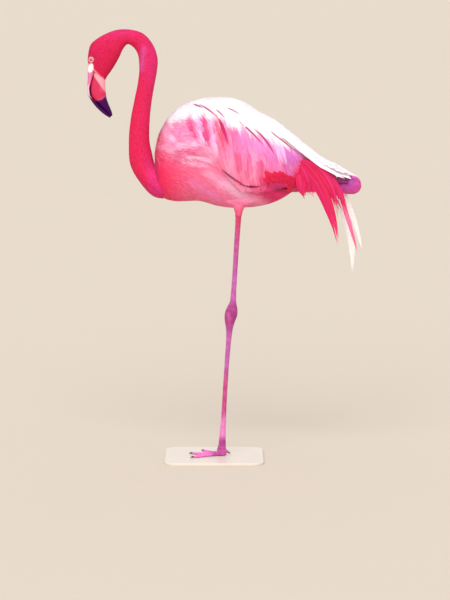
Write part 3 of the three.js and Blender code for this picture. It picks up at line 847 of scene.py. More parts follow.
# Broad strokes of colour along the feathers' run: start, end, reach, colour, weight.
STREAKS = [
    # Breast and belly.
    ((-8, 668), (60, 622), 13, "blush", 0.55),
    ((60, 622), (118, 592), 12, "blush", 0.4),
    ((-44, 648), (10, 612), 9, "orchid", 0.4),
    ((-20, 660), (8, 650), 4, "rose_streak", 0.3),
    ((30, 624), (62, 600), 5, "crimson", 0.3),
    ((-90, 694), (-64, 700), 6, "rose_streak", 0.35),
    ((24, 646), (70, 618), 9, "blush", 0.5),
    # Painted shade: the next two strokes darken the belly along and under the wing's lower edge.
    ((146, 632), (190, 627), 6, "plum", 0.85),
    ((112, 641), (150, 641), 5, "wine", 0.7),
    ((120, 614), (150, 604), 5, "wine", 0.4),
    ((96, 628), (132, 622), 5, "rose_streak", 0.6),
    # The shoulder.
    ((-120, 784), (-102, 770), 9, "pale_lilac", 0.6),
    ((-116, 769), (-92, 745), 8, "blush", 0.6),
    ((-121, 730), (-93, 734), 5, "blush", 0.4),
    ((-132, 716), (-112, 700), 9, "crimson", 0.5),
    # Painted shade: the next two narrow rose strokes lie between the pale feathers.
    ((-70, 701), (-20, 694), 2.5, "rose_streak", 0.5),
    ((-84, 719), (-30, 721), 3, "rose_streak", 0.6),
    ((-66, 695), (-16, 688), 4, "blush", 0.8),
    ((-102, 722), (-84, 719), 4, "blush", 0.7),
    ((-90, 780), (-62, 752), 14, "shoulder", 0.6),
    ((-82, 731), (-30, 741), 6, "blush", 1.0),
    ((-54, 709), (-4, 700), 6, "blush", 1.0),
    ((-50, 792), (-36, 750), 7, "rose_streak", 0.9),
    ((-19, 796), (-11, 738), 7, "rose_streak", 1.0),
    ((-34, 802), (-22, 741), 4.5, "pale_lilac", 0.85),
    ((-21, 741), (2, 704), 4, "blush", 0.5),
    # The long feathers over the wing.
    ((0, 800), (12, 700), 7, "pale_lilac", 0.8),
    ((12, 788), (17, 668), 5, "coral", 0.75),
    ((14, 800), (32, 726), 8, "red_streak", 0.95),
    ((42, 772), (60, 684), 7, "rose_streak", 0.7),
    ((24, 696), (90, 650), 16, "coral", 0.3),
    ((44, 718), (46, 644), 10, "blush", 0.45),
    ((72, 753), (80, 716), 9, "lilac", 0.6),
    ((82, 718), (84, 654), 4, "rose_streak", 0.35),
    ((94, 722), (98, 650), 6, "blush", 0.35),
    ((107, 706), (114, 652), 5, "rose_streak", 0.5),
    ((82, 776), (107, 736), 5, "rose_streak", 0.5),
    ((116, 741), (147, 684), 20, "orchid", 0.6),
    ((147, 732), (182, 699), 9, "pale_lilac", 0.8),
    ((182, 704), (177, 672), 14, "violet", 0.75),
    ((65, 648), (102, 650), 9, "coral", 0.5),
    ((116, 668), (147, 674), 8, "coral", 0.4),
    ((132, 657), (205, 654), 9, "red", 0.9),
]


def leg_marks(p):
    """Bare leg: magenta at the thigh, lilac shin, dark hock, and bright webs."""
    z = p[..., 2]
    tones = ramp(z, [
        (8, "foot"), (16, "hock"), (36, "hock"), (48, "shin_pale"), (84, "shin_pale"), (104, "leg_low"),
        (186, "leg_low"), (214, "lilac_skin"), (290, "lilac_skin"), (318, "hock"), (356, "hock"),
        (372, "lilac_skin"), (430, "lilac_skin"), (500, "leg_high"), (575, "crimson_skin"),
    ])
    tones = mix(tones, "leg_high", 0.8 * streak(p, (37, 340), (41, 312), 5))
    tones = mix(tones, "hock", 0.8 * step(-14, 10, p[..., 0]) * step(16, 8, z))
    # Painted shadow: a plum line along the very bottom of the foot, where it meets the stand.
    return mix(tones, "plum", 0.8 * step(1.5, 0.7, z))


def folded_leg_marks(p):
    """The folded leg: purple hock, lilac shin along the flank, bright toes."""
    x, z = p[..., 0], p[..., 2]
    tones = ramp(x, [
        (-20, "foot"), (10, "hock"), (40, "lilac_skin"), (230, "lilac_skin"), (284, "hock_pink"),
        (300, "knob"), (326, "knob"), (344, "knob_end"),
    ])
    tones = mix(tones, "crimson_skin", 0.6 * step(632, 616, z) * step(286, 300, x))
    tones = mix(tones, "hock_pink", 0.9 * streak(p, (282, 648), (300, 644), 4))
    tones = mix(tones, "hock", 0.3 * step(318, 296, x) * step(640, 650, z) * step(270, 290, x))
    # Painted shade: dark plum lines stand for the creases in the folded ankle's skin.
    crease = np.maximum(streak(p, (298, 654), (324, 649), 2.6), streak(p, (294, 638), (314, 639), 2.4))
    crease = np.maximum(crease, streak(p, (300, 646), (316, 645), 1.6))
    return mix(tones, "plum", 0.85 * crease)


def face_bareness(p):
    """1 on the bare skin of the lores and along the bill's base, 0 where the head is feathered."""
    base = np.array([-285.0, 911.0])
    chin = np.array([-244.0, 878.0])
    along = unit(chin - base)
    outward = np.array([-along[1], along[0]])
    gap = (p[..., [0, 2]] - base) @ outward
    low = (p[..., [0, 2]] - base) @ along
    reach = np.interp(low, [0, 12, 22, 50], [6, 5, 1, -1])
    band = step(reach + 1.2, reach - 0.8, gap)
    return np.maximum(band, lores_patch(p))


def lores_patch(p):
    """1 on the white patch between the eye and the bill."""
    x, z = p[..., 0], p[..., 2]
    middle = -277.5 + 0.12 * (z - 906)
    return step(1.15, 0.85, np.hypot((x - middle) / 6.8, (z - 906.5) / 10.5))


# ---------------------------------------------------------------- legs and feet
def turned(axis, angle):
    """A rotation matrix about one of the axes 0, 1 and 2."""
    c, s = math.cos(angle), math.sin(angle)
    a, b = [(1, 2), (2, 0), (0, 1)][axis]
    matrix = np.eye(3)
    matrix[a, a] = matrix[b, b] = c
    matrix[a, b], matrix[b, a] = -s, s
    return matrix


FEET = {
    "left": (turned(2, -0.2), (22, -3.4, 0)),
    "right": (turned(2, 0.14) @ turned(1, -0.21) @ turned(0, math.pi / 2 - 0.35), (1, 65, 619)),
}


def in_foot(points, side):
    matrix, origin = FEET[side]
    return np.asarray(points, float) @ matrix.T + np.array(origin)


def toe_point(turn, distance):
    return -math.cos(turn) * distance, math.sin(turn) * distance


def toe_form(length, turn, half_width):
    """A toe that swells at its joints and tapers to its claw."""
    shares = np.linspace(0, 1, 26)
    places = [0, 0.3, 0.62, 0.9, 1]
    height = np.interp(shares, places, [8.5, 6.4, 4.8, 4.6, 3.2])
    width = np.interp(shares, places, [1.25, 1, 0.95, 1, 0.72]) * half_width
    joint = sum(bell(shares - at, 0.045) for at in (0.34, 0.64, 0.92))
    swell = 0.94 + 0.12 * joint
    rows = []
    for share, tall, wide, more in zip(shares, height, width, swell):
        x, y = toe_point(turn, share * (length - CLAW_LENGTH))
        rows.append((x, y, tall * 0.42, tall * 0.58 * more, wide * more))
    return limb_form(rows)


def web_solid(toes):
    """The thin pleated skin between neighbouring toes."""
    across, outward = 15, 14
    solids = []
    for (length_a, turn_a, _), (length_b, turn_b, _) in zip(toes, toes[1:]):
        top = np.zeros((outward, across, 3))
        for i, v in enumerate(np.linspace(0.12, 1, outward)):
            for j, u in enumerate(np.linspace(0, 1, across)):
                reach = (length_a + (length_b - length_a) * u) * (0.85 - 0.14 * math.sin(math.pi * u))
                x, y = toe_point(turn_a + (turn_b - turn_a) * u, reach * v)
                pleat = 0.28 * math.sin(5 * math.pi * u) * v
                top[i, j] = (x, y, WEB_HEIGHT - 0.5 * math.sin(math.pi * u) * v + pleat)
        under = top.copy()
        under[..., 2] = 0.1
        solids.append(slab(top, under))
    return solids


def slab(top, under):
    """Points and faces of the closed solid between two grids of points."""
    rows, columns = top.shape[:2]
    count = rows * columns
    number = np.arange(count).reshape(rows, columns)
    quads = grid_faces(number)
    faces = quads.tolist() + (quads[:, ::-1] + count).tolist()
    rim = [*number[0, :-1], *number[:-1, -1], *number[-1, :0:-1], *number[:0:-1, 0]]
    for a, b in zip(rim, rim[1:] + rim[:1]):
        faces.append([int(a), int(b), int(b) + count, int(a) + count])
    return np.concatenate([top.reshape(-1, 3), under.reshape(-1, 3)]), faces


def mended(piece):
    """Turns every face of a closed mesh outward."""
    work = bmesh.new()
    work.from_mesh(piece.data)
    bmesh.ops.recalc_face_normals(work, faces=work.faces)
    work.to_mesh(piece.data)
    work.free()
    return piece


def applied(piece, **modifiers):
    """Applies the modifiers given as name=(kind, values) in turn."""
    for name, (kind, values) in modifiers.items():
        modifier = piece.modifiers.new(name, kind)
        for key, value in values.items():
            setattr(modifier, key, value)
    graph = bpy.context.evaluated_depsgraph_get()
    made = bpy.data.meshes.new_from_object(piece.evaluated_get(graph))
    piece.modifiers.clear()
    old = piece.data
    piece.data = made
    bpy.data.meshes.remove(old)
    return piece


def united(name, solids):
    """One object that holds several closed solids, not yet melted together."""
    points, faces, base = [], [], 0
    for solid_points, solid_faces in solids:
        points.append(solid_points)
        faces.extend([[index + base for index in face] for face in solid_faces])
        base += len(solid_points)
    return mended(new_piece(name, np.concatenate(points), faces))


def melted(piece, voxel):
    """Melts a piece's solids into one smooth skin."""
    applied(
        piece,
        melt=("REMESH", {"mode": "VOXEL", "voxel_size": voxel * MM, "use_smooth_shade": True}),
        ease=("SMOOTH", {"factor": 0.5, "iterations": 3}),
    )
    return piece


def union(piece, others):
    for other in others:
        applied(piece, join=("BOOLEAN", {"operation": "UNION", "object": other, "solver": "EXACT"}))
        bpy.data.objects.remove(other)
    return piece


def foot_solids(side, toe_size, others):
    """Toes and other solids of one foot, placed in the frame."""
    toes = [toe_form(*toe).mesh(*toe_size) for toe in TOES[side]]
    return [(in_foot(points, side), faces) for points, faces in [*toes, *others]]


def standing_leg():
    """The standing leg with its webbed foot, flat on its sole."""
    hind = limb_form(HIND_TOES["left"]).mesh(14, 12)
    foot = foot_solids("left", (48, 16), [*web_solid(TOES["left"]), hind])
    leg = melted(united("leg_left_skin", [LEG_LEFT_BODY.mesh(180, 28), *foot]), LEG_LEFT_VOXEL)
    points = points_of(leg.data)
    points[:, 2] = np.maximum(points[:, 2], SOLE_HEIGHT)
    set_points(leg.data, points)
    return leg


def folded_leg():
    """The folded leg: shank, hock knob, tarsus and closed foot."""
    limbs = ((LEG_RIGHT, 40, 24), (HOCK_RIGHT, 60, 28), (TARSUS_RIGHT, 110, 24))
    solids = [limb_form(rows).mesh(rings, sides) for rows, rings, sides in limbs]
    palm = limb_form(PALM_RIGHT).mesh(30, 18)
    hind = limb_form(HIND_TOES["right"]).mesh(14, 12)
    solids += foot_solids("right", (40, 14), [palm, hind])
    return melted(united("leg_right_skin", solids), LEG_RIGHT_VOXEL)


def leg_line(*limbs):
    """Points along the middle of the folded leg's limbs."""
    return [limb_form(rows).along(0, np.linspace(0, 1, 60)) for rows in limbs]


def toe_line(reach, gap):
    """Points along the folded foot's middle toe."""
    return in_foot([(-distance, 0, 2) for distance in range(0, reach, gap)], "right")


# ---------------------------------------------------------------- skin
def eye_place(side):
    return np.array([EYE[0], side * EYE[1], EYE[2]])


def eye_axes(side, ahead_share):
    """The ways out of one eye, ahead of it and up."""
    out = unit(np.array([-ahead_share, side, 0.02]))
    ahead = unit(np.cross(out, [0, 0, 1]))
    return out, ahead, np.cross(ahead, out)


def eyelid(side):
    """A soft rim of bare skin round one eye."""
    centre = eye_place(side)
    out, ahead, upward = eye_axes(side, 0.2)
    rings = []
    for turn in turns(40):
        ray = ahead * math.cos(turn) + upward * math.sin(turn)
        radius = LID_ABOVE if math.sin(turn) > 0 else LID_BELOW
        middle = centre + ray * radius + out * (LID_OUT - 0.5 * math.cos(turn) ** 2)
        rings.append([middle + (ray * math.cos(a) + out * math.sin(a)) * LID_HALF for a in turns(10)])
    rings = np.array(rings)
    count, sides = rings.shape[:2]
    faces = []
    for r in range(count):
        for a in range(sides):
            b, next_ring = (a + 1) % sides, (r + 1) % count
            faces.append([r * sides + a, r * sides + b, next_ring * sides + b, next_ring * sides + a])
    return rings.reshape(-1, 3), faces


def wing_flesh(side):
    """The folded arm and hand under the coverts, as a low swelling on the trunk's side."""
    return upright_form(ARM, ARM_POWER, y=side * ARM_ROOT, wider=ARM_SWELL - ARM_ROOT)


def socket_dent(points):
    """Draws the skin in round each eye."""
    for side in (LEFT, RIGHT):
        gap = np.linalg.norm(points - eye_place(side), axis=1)
        points[:, 1] -= side * SOCKET_DEPTH * bell(gap, SOCKET_REACH) * (points[:, 1] * side > 4)
    return points


def build_skin():
    depth = settings().coat_depth / MM
    trunk = mended(new_piece("flamingo_skin", *TRUNK_BODY.mesh(90, 56, inset=depth, start=0.02, end=0.98)))
    face = settings().face_depth / MM
    neck_share = NECK_BODY.knots[len(NECK)]
    rings = 170
    t = np.linspace(0.01, 1, rings)
    inset = np.interp(t, [0, neck_share, 0.9, 0.96, 1], [depth * 0.5, depth * 0.45, face * 1.6, face, 0.2])
    points, faces = NECK_BODY.mesh(rings, 48, inset=inset, start=0.01)
    neck = mended(new_piece("neck_skin", socket_dent(points), faces))
    parts = [neck]
    for side in (LEFT, RIGHT):
        parts.append(mended(new_piece("lid", *eyelid(side))))
        parts.append(mended(new_piece("arm", *wing_flesh(side).mesh(50, 32))))
    parts += [standing_leg(), folded_leg()]
    thigh = mended(new_piece("thigh", *THIGH_BODY.mesh(24, 28, inset=np.linspace(5, 1.4, 24))))
    skin = union(trunk, [thigh, *parts])
    tint_skin(skin)
    names = ["trunk", "neck_base", "neck_lower", "neck_middle", "neck_upper", "head", "thigh_left"]
    names += [f"{part}_{word}" for word in SIDES for part in LEG_NODES]
    return settle(skin, "leg_skin", skin_finish(), *names)


def tint_skin(skin):
    """Paints the skin with the coat's markings and the bare parts' own, and marks its rows of scutes."""
    p = points_of(skin.data)
    x, _, z = p.T
    on_leg = (z < 590) & (x > -90) & (x < 110)
    leg_gap = near_line(p, np.concatenate(leg_line(LEG_RIGHT, HOCK_RIGHT, TARSUS_RIGHT)))
    on_fold = leg_gap < np.where(x > 285, 24, 11)
    on_fold |= near_line(p, toe_line(75, 5)) < 14
    on_neck = (x < -118) & ((z > 745) | (x < -140))
    on_face = (x < -225) & (z > 860)
    tones = body_marks(p)
    tones[on_neck] = neck_marks(p[on_neck])
    eye_gaps = (np.linalg.norm(p - eye_place(side), axis=1) for side in (LEFT, RIGHT))
    lid = np.minimum(*(np.abs(gap - 5.8) for gap in eye_gaps))
    bare = np.maximum(face_bareness(p) * on_face, (lid < 2.8) & (z > 860))
    tones = mix(tones, "bare_face", bare)
    tones = mix(tones, "lores", lores_patch(p) * on_face)
    tones[on_leg] = leg_marks(p[on_leg])
    tones[on_fold] = folded_leg_marks(p[on_fold])
    paint_points(skin.data, tones)
    layer = skin.data.attributes.new("scuted", "FLOAT", "POINT")
    layer.data.foreach_set("value", (on_leg | on_fold) * 1.0)


# ---------------------------------------------------------------- eyes, bill and claws
def build_eyes():
    material = eye_finish()
    for word, side in SIDES.items():
        centre = eye_place(side)
        out, ahead, upward = eye_axes(side, 0.22)
        polar = np.linspace(0.02, math.pi - 0.02, 44)[:, None, None]
        around = turns(48)[:, None]
        radius = EYE_RADIUS - 0.5 * bell(polar - 0.62, 0.14) + 0.25 * bell(polar, 0.4)
        rays = ahead * np.cos(around) + upward * np.sin(around)
        points, faces = tube(centre + radius * (rays * np.sin(polar) + out * np.cos(polar)))
        eye = mended(new_piece(f"eyeball_{word}", points, faces))
        ray = unit(points - centre)
        angle = np.degrees(np.arccos(np.clip(ray @ out, -1, 1)))
        spoke = 0.5 + 0.5 * np.sin(np.arctan2(ray @ upward, ray @ ahead) * 18)
        iris = mix("iris", "iris_edge", 0.35 * spoke + 0.5 * step(28, 38, angle))
        tones = mix("pupil", iris, step(15, 18, angle))
        paint_points(eye.data, mix(tones, "pupil", step(38, 42, angle)))
        settle(eye, "eye", material, f"eye_{word}")


def eye_finish():
    """Wet eyes: a clear coat over the painted iris."""
    n = Nodes("flamingo_eye")
    n.set(Coat_Weight=1.0, Coat_Roughness=0.03, Specular_IOR_Level=0.5)
    mottle = n.noise(n.place(), 1500)
    shade = n.stain(n.painted(), mottle, 0.3, 0.8, 0.4, (0.6, 0.4, 0.4))
    return n.finish(shade, roughness=n.range(mottle, 0.3, 0.7, 0.12, 0.2))


def bill_mesh(upper):
    """One half of the bill, with its finer forms: nostril slit, ridge, and the comb along the gape."""
    rows = np.array(BILL, float)
    if upper:
        form = span_form(np.concatenate([rows[:, :4], rows[:, 6:]], 1), 2.5)
    else:
        form = span_form(np.concatenate([rows[:, 2:6], rows[:, 6:] * 0.97], 1), 2.25)
    t, angle = np.meshgrid(np.linspace(0, 1, 150), turns(96), indexing="ij")
    p, normal, _, _ = form.frame(t, angle)
    rise = np.sin(angle)
    if upper:
        slit = bell(t - 0.2, 0.13) * bell(rise + 0.05, 0.22)
        ridge = bell(rise - 0.62, 0.1) * step(0.02, 0.2, t) * step(0.95, 0.6, t)
        shift = -1.5 * slit - 0.45 * ridge
        comb = bell(rise + 0.93, 0.12) * step(0.8, 0.6, t)
        meet = step(-0.7, -0.9, rise)
    else:
        groove = bell(rise + 0.15, 0.1) * step(0.05, 0.25, t) * step(0.9, 0.55, t)
        shift = -0.4 * groove - 0.2 * bell(rise - 0.55, 0.08)
        comb = bell(rise - 0.93, 0.12) * step(0.8, 0.6, t)
        meet = step(0.7, 0.9, rise)
    shift = shift - 0.12 * comb * (0.5 + 0.5 * np.sin(t * TURN * COMB_TEETH)) - 0.12 + 0.4 * meet
    p = p + normal * shift[..., None]
    back = unit(p[0].mean(0) - p[4].mean(0))
    return tube(np.concatenate([p[:1] + back * 3, p]))


def bill_tones(p, upper):
    """Pale ridge, rose sides and a dark line along the gape, with a hard-edged dark tip."""
    x, z = p[..., 0], p[..., 2]
    gape = np.interp(z, *GAPE_LINE)
    lower_down = step(874, 862, z)
    if upper:
        tones = layered(
            "bill_coral",
            ("bill_pale", lower_down),
            ("bill_pale", step(-283.2, -285.2, x)),
            ("bill_lilac", 0.7 * streak(p, (-282.2, 892), (-284.6, 868), 1.0)),
            ("lores", lores_patch(p)),
        )
        past = gape - 0.9 - 1.3 * lower_down - x
    else:
        chin = 0.4 * step(-262, -248, x) * step(846, 860, z)
        tones = mix("bill_rose", "bill_coral", chin)
        wedge = (z - 888) * 0.573 + (x + 270.5) * 0.82
        tones = mix(tones, "bare_face", step(-1.0, 1.4, wedge))
        past = x - gape - 0.5 - 1.1 * lower_down
    edge = np.interp(x, *TIP_EDGE)
    soft = step(6, 0, np.abs(z - edge - 1)) * step(-275, -255, x)
    return layered(
        tones,
        ("gape", step(0.3, -0.3, past) * step(897, 890, z)),
        ("bill_lilac", 0.6 * soft),
        ("gape", step(1.4, 0.4, z - edge)),
        ("bill_tip", step(-1.4, -3.4, z - edge)),
    )


def bill_finish():
    """Horn: fine grain and soft clouds, with little shine."""
    n = Nodes("flamingo_bill")
    n.set(Coat_Weight=0.02, Coat_Roughness=0.3, Specular_IOR_Level=0.14)
    place = n.place()
    grain = n.noise(place, 420, 4.0)
    cloud = n.noise(place, 70)
    shade = n.stain(n.painted(), grain, 0.4, 0.75, 0.25, (0.82, 0.66, 0.74))
    shade = n.stain(shade, cloud, 0.4, 0.7, 0.2, (0.9, 0.74, 0.82))
    return n.finish(shade, n.bump(grain, 0.12, 0.0003), n.range(cloud, 0.3, 0.7, 0.3, 0.42))


def build_bill():
    material = bill_finish()
    for name, upper in (("bill_upper", True), ("bill_lower", False)):
        points, faces = bill_mesh(upper)
        piece = mended(new_piece(f"{name}_horn", points, faces, bill_tones(points, upper)))
        settle(piece, "bill", material, name)


def claw_finish():
    """Claws: dark horn, paler where it is worn."""
    n = Nodes("flamingo_claw")
    n.set(Coat_Weight=0.2, Coat_Roughness=0.3)
    grain = n.noise(n.place(), 900)
    shade = n.blend("MIX", n.range(grain, 0.3, 0.75), tuple(colour("claw")), tuple(colour("claw_pale")))
    return n.finish(shade, n.bump(grain, 0.2, 0.0002), n.range(grain, 0.3, 0.7, 0.3, 0.45))


def build_claws():
    material = claw_finish()
    for word, toes in TOES.items():
        claws = {}
        for toe_name, (length, turn, _) in zip(TOE_NAMES, toes):
            reach = length - CLAW_LENGTH
            claws[toe_name] = [(*toe_point(turn, reach + row[0]), *row[1:]) for row in FRONT_CLAW]
        claws["hind"] = HIND_CLAWS[word]
        for toe_name, rows in claws.items():
            points, faces = limb_form(rows).mesh(20, 14)
            points = in_foot(points, word)
            if word == "left":
                points[:, 2] = np.maximum(points[:, 2], CLAW_HEIGHT)
            piece = mended(new_piece(f"claw_{toe_name}_{word}_horn", points, faces))
            settle(piece, "claw", material, f"claw_{word}_{toe_name}")


# ---------------------------------------------------------------- vanes
# How a vane's width changes from its root to its tip.
ROUND_TIP = ((0, 0.15, 0.4, 0.65, 0.85, 0.95, 1), (0.35, 0.62, 0.95, 1, 0.8, 0.5, 0.14))
SOFT_TIP = ((0, 0.12, 0.35, 0.6, 0.8, 0.92, 1), (0.4, 0.7, 1, 0.96, 0.72, 0.44, 0.12))
LONG_TIP = ((0, 0.1, 0.3, 0.5, 0.75, 0.9, 1), (0.4, 0.68, 1, 0.96, 0.66, 0.36, 0.06))
# Length and half width of the short feathers of each part.
HEAD_FEATHER = (4.6, 0.76)
NECK_FEATHER = (8.6, 1.15)
BODY_FEATHER = (22, 2.3)
THIGH_FEATHER = (12, 2.2)
TAIL_COVERT = (30, 5.5)
# How much longer the body's feathers grow from the front of the breast to the flank.
BODY_GROWTH = 12
# Half widths of the long vanes of the folded flight feathers, the tail and the lower back.
FLIGHT_HALF = 5.2
TAIL_HALF = 8
ROOF_HALF = 7.5
# The room that one vane takes in its piece's map.
PATCH = 0.003
LONG_PATCH = 0.006


class Coat:
    """Gathers vanes, each a thin closed solid, into one piece."""

    def __init__(self, name):
        self.name = name
        self.points, self.tones, self.vanes, self.maps = [], [], [], []
        self.loops, self.sizes, self.smooth, self.count = [], [], [], 0

    def add(self, centre, normal, across, half, camber, tones, root, length, patch=PATCH):
        """Adds vanes: centre lines (n, k, 3), half widths (n, k) and tones (n, k, m, 3) for m columns."""
        n, k, m = tones.shape[:3]
        u = np.linspace(-1, 1, m)
        bow = (camber * half)[..., None] * u**2
        aside = across[:, :, None] * (half[..., None] * u)[..., None]
        p = centre[:, :, None] + aside - normal[:, :, None] * bow[..., None]
        self.points.append(p.reshape(-1, 3))
        self.tones.append(np.clip(tones, 0, 1).reshape(-1, 3))
        u = np.broadcast_to(u, (n, k, m))
        s = np.broadcast_to(np.linspace(0, 1, k)[:, None], (n, k, m))
        vane = np.stack([u, s * np.asarray(length)[:, None, None], s], -1)
        self.vanes.append(vane.reshape(-1, 3))
        spot = np.stack([u / 2, s - 0.5], -1) * patch
        self.maps.append((root[:, None, None] + spot).reshape(-1, 2))
        self.close(n, np.arange(k * m).reshape(k, m))

    def close(self, count, number):
        """Adds the faces of so many vanes, whose points are numbered alike: top, underside and both ends."""
        top = grid_faces(number)
        under = np.stack([number[:-1, 0], number[:-1, -1], number[1:, -1], number[1:, 0]], -1)
        quads = np.concatenate([top, under])
        ends = np.stack([number[0], number[-1, ::-1]])
        base = self.count + (np.arange(count) * number.size)[:, None, None]
        for faces, smooth in ((quads, np.arange(len(quads)) < len(top)), (ends, np.zeros(2, bool))):
            self.loops.append((faces[None] + base).reshape(-1))
            self.sizes.append(np.full(count * len(faces), faces.shape[1]))
            self.smooth.append(np.tile(smooth, count))
        self.count += count * number.size

    def build(self, slot, material, *replaced):
        mesh = bpy.data.meshes.new(self.name)
        points = in_frame(np.concatenate(self.points))
        loops = np.concatenate(self.loops)
        sizes = np.concatenate(self.sizes)
        mesh.vertices.add(len(points))
        mesh.vertices.foreach_set("co", points.ravel())
        mesh.loops.add(len(loops))
        mesh.loops.foreach_set("vertex_index", loops)
        mesh.polygons.add(len(sizes))
        mesh.polygons.foreach_set("loop_start", np.concatenate([[0], np.cumsum(sizes)[:-1]]))
        mesh.update(calc_edges=True)
        sharpen(mesh, ~np.concatenate(self.smooth))
        paint_points(mesh, np.concatenate(self.tones))
        layer = mesh.attributes.new("vane", "FLOAT_VECTOR", "POINT")
        layer.data.foreach_set("vector", np.concatenate(self.vanes).ravel())
        layer = mesh.uv_layers.new(name="OFBake")
        layer.data.foreach_set("uv", np.concatenate(self.maps)[loops].ravel())
        return settle(new_object(self.name, mesh), slot, material, *replaced)


def scatter(form, gap_along, gap_across, rng, start=0.0, end=1.0):
    """Staggered rows of places on a form. The gaps are in millimetres and may change along it."""
    along = gap_along if callable(gap_along) else lambda t: gap_along
    across = gap_across if callable(gap_across) else lambda t: gap_across
    fine = np.linspace(0, TURN, 145)
    shares, angles, t, row = [], [], start, 0
    while t < end:
        ring = form.point(np.full(fine.shape, t), fine)
        steps = np.linalg.norm(np.diff(ring, axis=0), axis=1)
        round_it = np.concatenate([[0], np.cumsum(steps)])
        count = max(3, int(round_it[-1] / across(t)))
        spots = (np.arange(count) + 0.5 * (row % 2) + rng.uniform(-0.28, 0.28, count)) / count % 1
        angles.append(np.interp(spots * round_it[-1], round_it, fine))
        shares.append(t + rng.uniform(-0.3, 0.3, count) * along(t) / form.length)
        t += along(t) / form.length
        row += 1
    return np.clip(np.concatenate(shares), 0, 1), np.concatenate(angles)


def widening(places, values, unit_gap=1.0):
    """A gap for scatter that changes along a form."""
    return lambda t: unit_gap * np.interp(t, places, values)


def walk(form, t, angle, length, swing, lie, rings):
    """Centre lines, normals and ways of vanes that follow the lie of the plumage over a form."""
    gap = length / (rings - 1)
    t, angle = t.copy(), angle.copy()
    centres, normals, ways = [], [], []
    beyond = np.zeros(len(t), bool)
    for ring in range(rings):
        p, normal, lengthwise, round_it = form.frame(np.clip(t, 0, 1), angle)
        if ring:
            p = np.where(beyond[:, None], centres[-1] + ways[-1] * gap[:, None], p)
            normal = np.where(beyond[:, None], normals[-1], normal)
        way = lie(p, lengthwise)
        way = unit(way - normal * dot(way, normal)[:, None])
        way = way * np.cos(swing)[:, None] + np.cross(normal, way) * np.sin(swing)[:, None]
        if ring:
            way = np.where(beyond[:, None], ways[-1], way)
        centres.append(p)
        normals.append(normal)
        ways.append(way)
        g11, g12, g22 = dot(lengthwise, lengthwise), dot(lengthwise, round_it), dot(round_it, round_it)
        b1, b2 = dot(way, lengthwise), dot(way, round_it)
        area = np.maximum(g11 * g22 - g12 * g12, 1e-3)
        t += gap * (b1 * g22 - b2 * g12) / area
        angle += np.clip(gap * (b2 * g11 - b1 * g12) / area, -0.6, 0.6)
        beyond |= (t > 1) | (t < 0)
    return np.stack(centres, 1), np.stack(normals, 1), np.stack(ways, 1)


def painter(marks, edge=0.1, jitter=0.05, tip=0.0, root_painted_shade=0.18, own=0.5, wander=0.0, streaky=0.0):
    """Paints each vane with the markings where it lies, a shade of its own, painted shade towards its
    covered root, and a paler edge.
    """

    def paint(centres, columns, rng):
        n, k = centres.shape[:2]
        s = np.linspace(0, 1, k)
        u = np.linspace(-1, 1, columns)
        moved = centres + rng.normal(0, 1, (n, 1, 3)) * wander
        tones = mix(marks(moved), marks(moved[:, int(k * 0.7)])[:, None], own)
        tones = tones * (1 + rng.normal(0, jitter, (n, 1, 1)))
        shift = rng.uniform(-1, 1, (n, 1)) * streaky * (1 - tones[..., 1])
        # Deep tones take less of the pale ones, which would grey them.
        soft = np.clip(tones[..., 1] / 0.1, 0.15, 1)
        tones = mix(tones, "blush", np.clip(shift, 0, 1) * soft)
        tones = mix(tones, "rose_streak", np.clip(-shift, 0, 1))
        # Painted shade: each vane darkens towards its root, where the vanes above cover it.
        tones = tones * (1 - root_painted_shade * (1 - s[None, :, None]) ** 1.5)
        tones = np.repeat(tones[:, :, None], columns, axis=2)
        weight = edge * np.abs(u)[None, None] ** 2 * np.ones((n, k, 1)) * rng.uniform(0.2, 1.6, (n, 1, 1))
        weight = weight + tip * step(0.5, 1, s)[None, :, None] * rng.uniform(0, 1.5, (n, 1, 1))
        return mix(tones, "white", np.clip(weight, 0, 1) * soft[..., None])

    return paint


def grow(
    coat, form, t, angle, rng, *, length, half, lie, paint, rings=5, columns=3, sink=5.0, lift=0.0,
    camber=0.2, spread=0.12, uneven=0.35, tuck=0.0, rise=2.2, profile=ROUND_TIP, window=(0.0, 1.0),
    drop=None, barbs=(0, 1.0),
):
    """Lays one vane at each place, rooted on the skin and sloping out to the top of the coat."""
    n = len(t)
    length = np.broadcast_to(length, n) * rng.normal(1, 0.09, n)
    half = np.broadcast_to(half, n) * rng.normal(1, 0.09, n)
    centres, normals, ways = walk(form, t, angle, length, rng.normal(0, spread, n), lie, rings)
    s = np.linspace(0, 1, rings)
    height = -np.broadcast_to(sink, n)[:, None] * (1 - s) ** rise + lift * s**2 - tuck * s**4
    height = height + rng.normal(0, uneven, (n, 1)) * (0.3 + 0.7 * s) - uneven
    tones = paint(centres, columns, rng)
    lowered = np.zeros(centres.shape)
    if drop is not None:
        lowered[..., 1] = -np.sign(centres[..., 1]) * drop(centres)
    centres = centres + normals * height[..., None] + lowered
    wide = half[:, None] * np.interp(s, *profile)
    low, high = window
    root = np.stack([0.01 + 0.98 * (t - low) / (high - low), 0.01 + 0.98 * (angle / TURN % 1)], 1)
    vanes = (centres, normals, unit(np.cross(normals, ways)), wide, camber, tones, root, length)
    coat.add(*vanes)
    count, width = barbs
    for _ in range(count):
        loose_barbs(coat, *vanes, rng, width)


